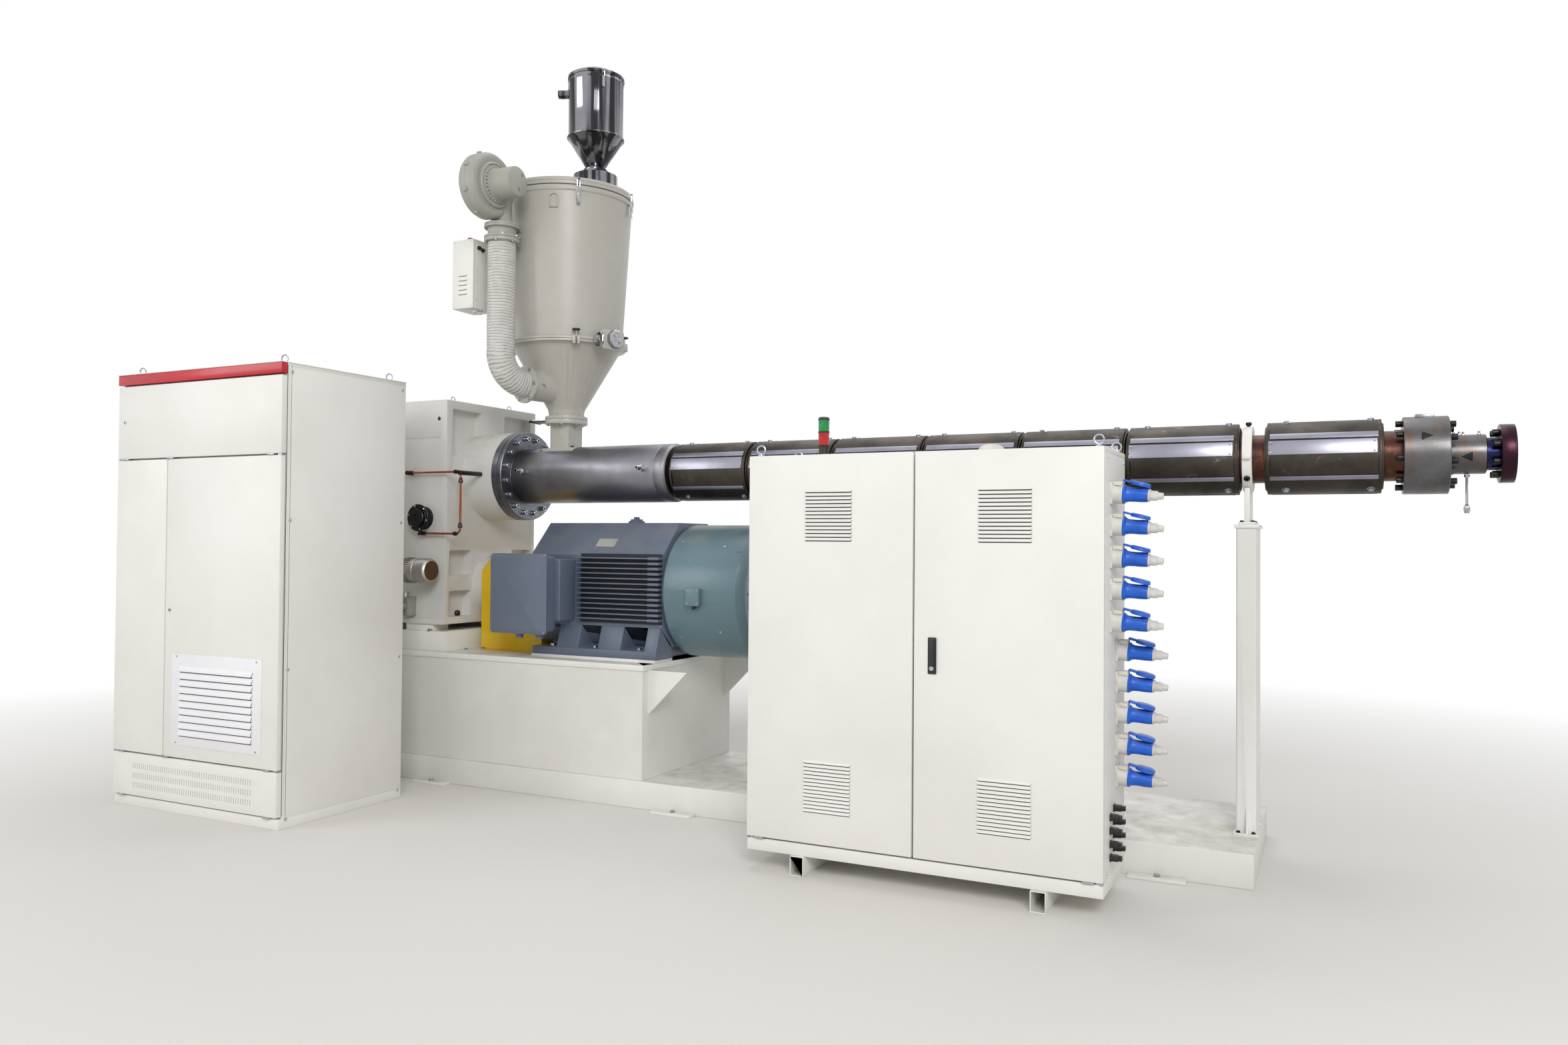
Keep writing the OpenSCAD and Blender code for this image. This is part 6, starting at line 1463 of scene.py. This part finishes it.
neckScrews = [(Vector((w["flange"] - 0.0002, 0, axis)) + out * 0.09, toLeft)
              for out in map(spoke, turns(8, math.pi / 8))]
patternShape("longCapScrew",
             (addTurned, Matrix(),
              mm((0, 0), (12.5, 0), (12.8, 1), (12.8, 24.5), (11.5, 26), (7.2, 26), (6.8, 15), (0, 14.5)), 16))
ringScrews = [(Vector((w["adapter"] - 0.0004, 0, axis)) + out * 0.128, toRight)
              for out in map(spoke, turns(8, math.radians(15)))]
ringScrews += [(Vector((w["ring"] + 0.0004, 0, axis)) + out * 0.132, toLeft)
               for out in map(spoke, turns(8, math.radians(7)))]
repeat("outletScrews", "longCapScrew", neckScrews + ringScrews, "dark_casting", spin=6.283)
print("barrel dressed")

# motor: terminal box, fin ends, painted shade between the fins, plate, foot bolts, and on the fan cowl a small
# box, screws and painted shade in the grille
motor = {"fins": 13, "pitch": 0.027, "boxLow": (0.455, -0.55, 0.865), "boxSize": (0.38, 0.43), "cowlEnd": 1.905}
w = motor
boxFace = placeAt((w["boxLow"][0] + w["boxSize"][0] / 2, 0, w["boxLow"][2] + w["boxSize"][1] / 2), toFront,
                  toRight)
assembled("terminalBoxShell", "motor_paint",
          [*[(addPrism, boxFace @ Matrix.Translation((0, 0, start)), roundRect(wide, tall, corner), depth, edge)
             for wide, tall, corner, start, depth, edge in ((0.356, 0.406, 0.026, 0.445, 0.084, 0.006),
                 (0.38, 0.43, 0.02, 0.5275, 0.004, 0.001), (0.379, 0.429, 0.02, 0.534, 0.0045, 0.001))],
           (addLoft, boxFace,
            [(roundRect(0.374, 0.424, 0.018), (0, 0, 0.536)), (roundRect(0.374, 0.424, 0.018), (0, 0, 0.5385)),
             (roundRect(0.318, 0.386, 0.012), (-0.012, 0, 0.5488)),
             (roundRect(0.308, 0.378, 0.01), (-0.012, 0, 0.55))]),
           (addBlock, (0.6205, -0.452, 0.935), (0.853, -0.3155, 1.265), 0.007, None, 3)],
          replaces=("motor_terminal_box",))
assembled("boxLidGasket", "black_plastic",
          [(addPrism, boxFace @ Matrix.Translation((0, 0, 0.5305)), roundRect(0.376, 0.426, 0.018), 0.0045)])
assembled("terminalGlands", "motor_paint", [
    (addTurned, placeAt((x, -0.49, 0.8395), toTop), mm((11, 0), (17.5, 0), (19.5, 3), (19.5, 15), (18.5, 16),
        (23.5, 16.5), (23.8, 30), (20.5, 31), (20.5, 44), (11, 44)), 12) for x in (0.62, 0.755)],
          replaces=("motor_terminal_box",), smooth=25)
boxCorners = [(boxFace @ Vector((sx * 0.177, sz * 0.202, 0.5385)), toFront) for sx in (-1, 1) for sz in (-1, 1)]
fasten("boxLidScrews", "socket", 0.0052, boxCorners, "zinc_plate", seed=21)
patternShape("finEnd", (addBlock, (-0.034, -0.007, -0.042), (0.034, 0.007, -0.0003), 0.0022))
finEnds = [((1.379, side * 0.359, line["shaftZ"] - 0.15 + w["pitch"] * i), (0, side, 0), toRight)
           for i in range(w["fins"]) for side in (-1, 1)]
repeat("finEnds", "finEnd", finEnds, "motor_paint", replaces=("motor_body",))
bm = bmesh.new()
for i in range(w["fins"] + 1):  # painted shade: a dark sheet on the ground between the fins, where they shade the body
    low = line["shaftZ"] - 0.15 + w["pitch"] * (i - 1) + 0.0036
    for side in (-1, 1):
        addBlock(bm, (0.8925, side * 0.3157 - 0.001, low),
                 (1.4135, side * 0.3157 + 0.001, low + w["pitch"] - 0.0072), 0)
keepPiece("finGrime", bm, "motor_paint", finish=enamel("paintedShadeMotorEnamel", colour="24272E", shade="1B1D22",
    dirt="6F675C", dust=0.35, speck=0.3, rough=0.6, grain=4, relief=0.0004))
slopeOut = Vector((0, -0.7276, 0.686))
plateAt = Vector((1.018, -0.254, 1.3547)) + slopeOut * 0.0002
place = placeAt(plateAt, slopeOut, toRight)
assembled("motorPlate", "bare_aluminium", [
    (addPrism, place, roundRect(0.124, 0.06, 0.002), 0.0022, 0.0004, 1),
    (addPrism, place @ Matrix.Translation((0, 0, 0.0015)), roundRect(0.106, 0.046, 0.002), 0.0012, 0.0003, 1)])
plateScrews = [(place @ Vector((sx * 0.057, sy * 0.0255, 0.0022)), slopeOut) for sx in (-1, 1)
               for sy in (-1, 1)]
fasten("plateRivets", "rivet", 0.0024, plateScrews, "zinc_plate", seed=22)
footBolts = [((x, side * 0.28, 0.7868), toTop) for x in (0.965, 1.25, 0.68) for side in (-1, 1)]
fasten("motorFootBolts", "hex", 0.0165, footBolts, "zinc_plate", seed=23)
place = placeAt((1.04, 0, 1.4645), toTop)
assembled("motorTopPlug", "motor_paint", [
    (addTurned, place, mm((0, 0), (46, 0), (46, 10), (42, 14), (34, 14.5), (34, 21), (31, 24), (0, 24)), 32),
    (addTurned, place, mm((0, 23.5), (17, 23.5), (18.5, 25), (18.5, 34), (16, 36), (0, 36)), 6)], smooth=25)

boxX, boxY, boxZ = (1.595, 1.67), -0.38, (1.04, 1.125)
assembled("cowlBox", "cowl_paint",
          [(addBlock, (boxX[0] - 0.001, boxY - 0.0015, boxZ[0] - 0.001),
            (boxX[1] + 0.001, -0.345, boxZ[1] + 0.001), 0.0045, None, 3),
           (addBlock, (boxX[0] - 0.0035, boxY - 0.006, boxZ[0] - 0.0035),
            (boxX[1] + 0.0035, boxY + 0.004, boxZ[1] + 0.0035), 0.004, None, 3)])
assembled("cowlGland", "black_plastic",
          [(addTurned, placeAt((1.6325, -0.366, 1.0415), toFloor), mm((0, 0), (12.5, 0), (12.5, 6), (9.5, 7),
              (10.5, 8), (10.5, 18), (7.5, 22.5), (5.5, 22.5), (5, 14), (0, 14)), 12)], smooth=25)
cowlScrews = []
for x, y, z in ((1.491, -0.237, 1.364), (1.506, -0.267, 0.866), (1.753, -0.295, 0.903), (1.753, -0.262, 1.34)):
    for side in (-1, 1):
        out = Vector((0, side * abs(y), z - line["shaftZ"])).normalized()
        cowlScrews.append((Vector((x, 0, line["shaftZ"])) + out * 0.355, out))
fasten("cowlScrews", "hex", 0.0082, cowlScrews, "zinc_plate", seed=24)
lidScrews = [((x, boxY - 0.006, z), toFront) for x in (boxX[0] + 0.009, boxX[1] - 0.009)
             for z in (boxZ[0] + 0.009, boxZ[1] - 0.009)]
fasten("cowlBoxScrews", "pan", 0.0032, lidScrews, "zinc_plate", seed=25)
lugOut = Vector((0, -0.795, 0.607))
lugAt = Vector((1.85, 0, line["shaftZ"])) + lugOut * 0.347
assembled("cowlEye", "cowl_paint",
          [(addTube, [lugAt + lugOut * (0.01 * math.sin(a)) + Vector((0.015 * math.cos(a), 0, 0))
                      for a in (math.pi * k / 10 for k in range(-1, 12))], 0.0038, 8)])
# painted shade: a black ring at the bottom of the grille's slots
assembled("grilleShade", "black_plastic",
          [(addTurned, placeAt((w["cowlEnd"] - 0.0046, 0, line["shaftZ"]), toRight),
            mm((71, 0), (318, 0), (318, 0.8), (71, 0.8)), 64)])

# bed: anchor bolts through the foot plates
anchors = [((x + 0.115, side * 0.5, 0.0138), toTop) for x in (-0.97, -0.1, 1.485, 3.8) for side in (-1, 1)]
fasten("anchorBolts", "hex", 0.015, anchors, "zinc_plate", seed=26)
print("motor and bed dressed")

# camera at the photograph's place: worked out from the vanishing points of the bed and the cabinets
cameraView = {"at": (4.56, -5.3, 1.368), "yaw": 26.1, "pitch": 90.99, "roll": 0.45, "lens": 25.71}
cameraData = bpy.data.cameras.new("photoCamera")
cameraData.lens = cameraView["lens"]
cameraData.sensor_width = 36
camera = linked("photoCamera", cameraData)
seenFrom = Matrix.Translation(cameraView["at"])
for label, about in (("yaw", "Z"), ("pitch", "X"), ("roll", "Z")):
    seenFrom = seenFrom @ Matrix.Rotation(math.radians(cameraView[label]), 4, about)
camera.matrix_world = seenFrom
bpy.context.scene.camera = camera

# floor, world and studio lamps


def directly(tree):
    # 1 where the eye, a reflection or a view through glass looks at the backdrop
    light = addNode(tree, "ShaderNodeLightPath").outputs
    glossy = joined(tree, light["Is Camera Ray"], light["Is Glossy Ray"], "MAXIMUM")
    return joined(tree, glossy, light["Is Transmission Ray"], "MAXIMUM")


studio = {"fade": (2.6, 7.5), "floorHalf": 40, "floorColour": "DEDCD7", "worldLight": 0.42,
          "lamps": [("keyLamp", (7.5, -9.0, 6.5), (1.2, 0, 1.2), 4.0, 570),
                    ("sideLamp", (-5.5, -8.5, 5.0), (1.5, 0, 1.2), 5.0, 270),
                    ("topLamp", (2.0, 2.5, 9.5), (2.0, 0, 1.0), 7.0, 250)]}
floorMesh = bpy.data.meshes.new("studioFloor")
half = studio["floorHalf"]
floorMesh.from_pydata([(-half, -half, 0), (half, -half, 0), (half, half, 0), (-half, half, 0)], [],
                      [(0, 1, 2, 3)])
floor = linked("studioFloor", floorMesh)
floorLook, tree, shader, where, normal = startMaterial("paleStudioFloor")
shader.inputs["Base Color"].default_value = linear(studio["floorColour"])
shader.inputs["Roughness"].default_value = 0.85
# away from the machine the floor fades into the white background, for the eye and for reflections alone
far = addNode(tree, "ShaderNodeVectorMath", {"operation": "DISTANCE", 1: (1.8, -0.4, 0.0)},
              {0: where}).outputs["Value"]
fade = joined(tree, ranged(tree, far, *studio["fade"]), directly(tree))
white = addNode(tree, "ShaderNodeEmission", {"Color": (1, 1, 1, 1), "Strength": 1.0})
blend = addNode(tree, "ShaderNodeMixShader", {}, {0: fade, 1: shader.outputs[0], 2: white.outputs[0]})
tree.links.new(blend.outputs[0], tree.nodes["Material Output"].inputs["Surface"])
floorMesh.materials.append(floorLook)

world = bpy.data.worlds.new("studioWorld")
bpy.context.scene.world = world
world.use_nodes = True
tree = world.node_tree
strength = ranged(tree, directly(tree), 0, 1, studio["worldLight"], 1.0)
tree.nodes["Background"].inputs["Color"].default_value = (1, 1, 1, 1)
tree.links.new(strength, tree.nodes["Background"].inputs["Strength"])

for name, at, aim, size, power in studio["lamps"]:
    data = bpy.data.lights.new(name, "AREA")
    data.shape = "SQUARE"
    data.size = size
    data.energy = power
    lamp = linked(name, data)
    lamp.location = at
    lamp.rotation_euler = (Vector(aim) - Vector(at)).to_track_quat("-Z", "Y").to_euler()
bpy.context.scene.view_settings.view_transform = "Standard"
print("camera, floor and lamps ready")

for shape in patterns.values():
    bpy.data.objects.remove(shape)
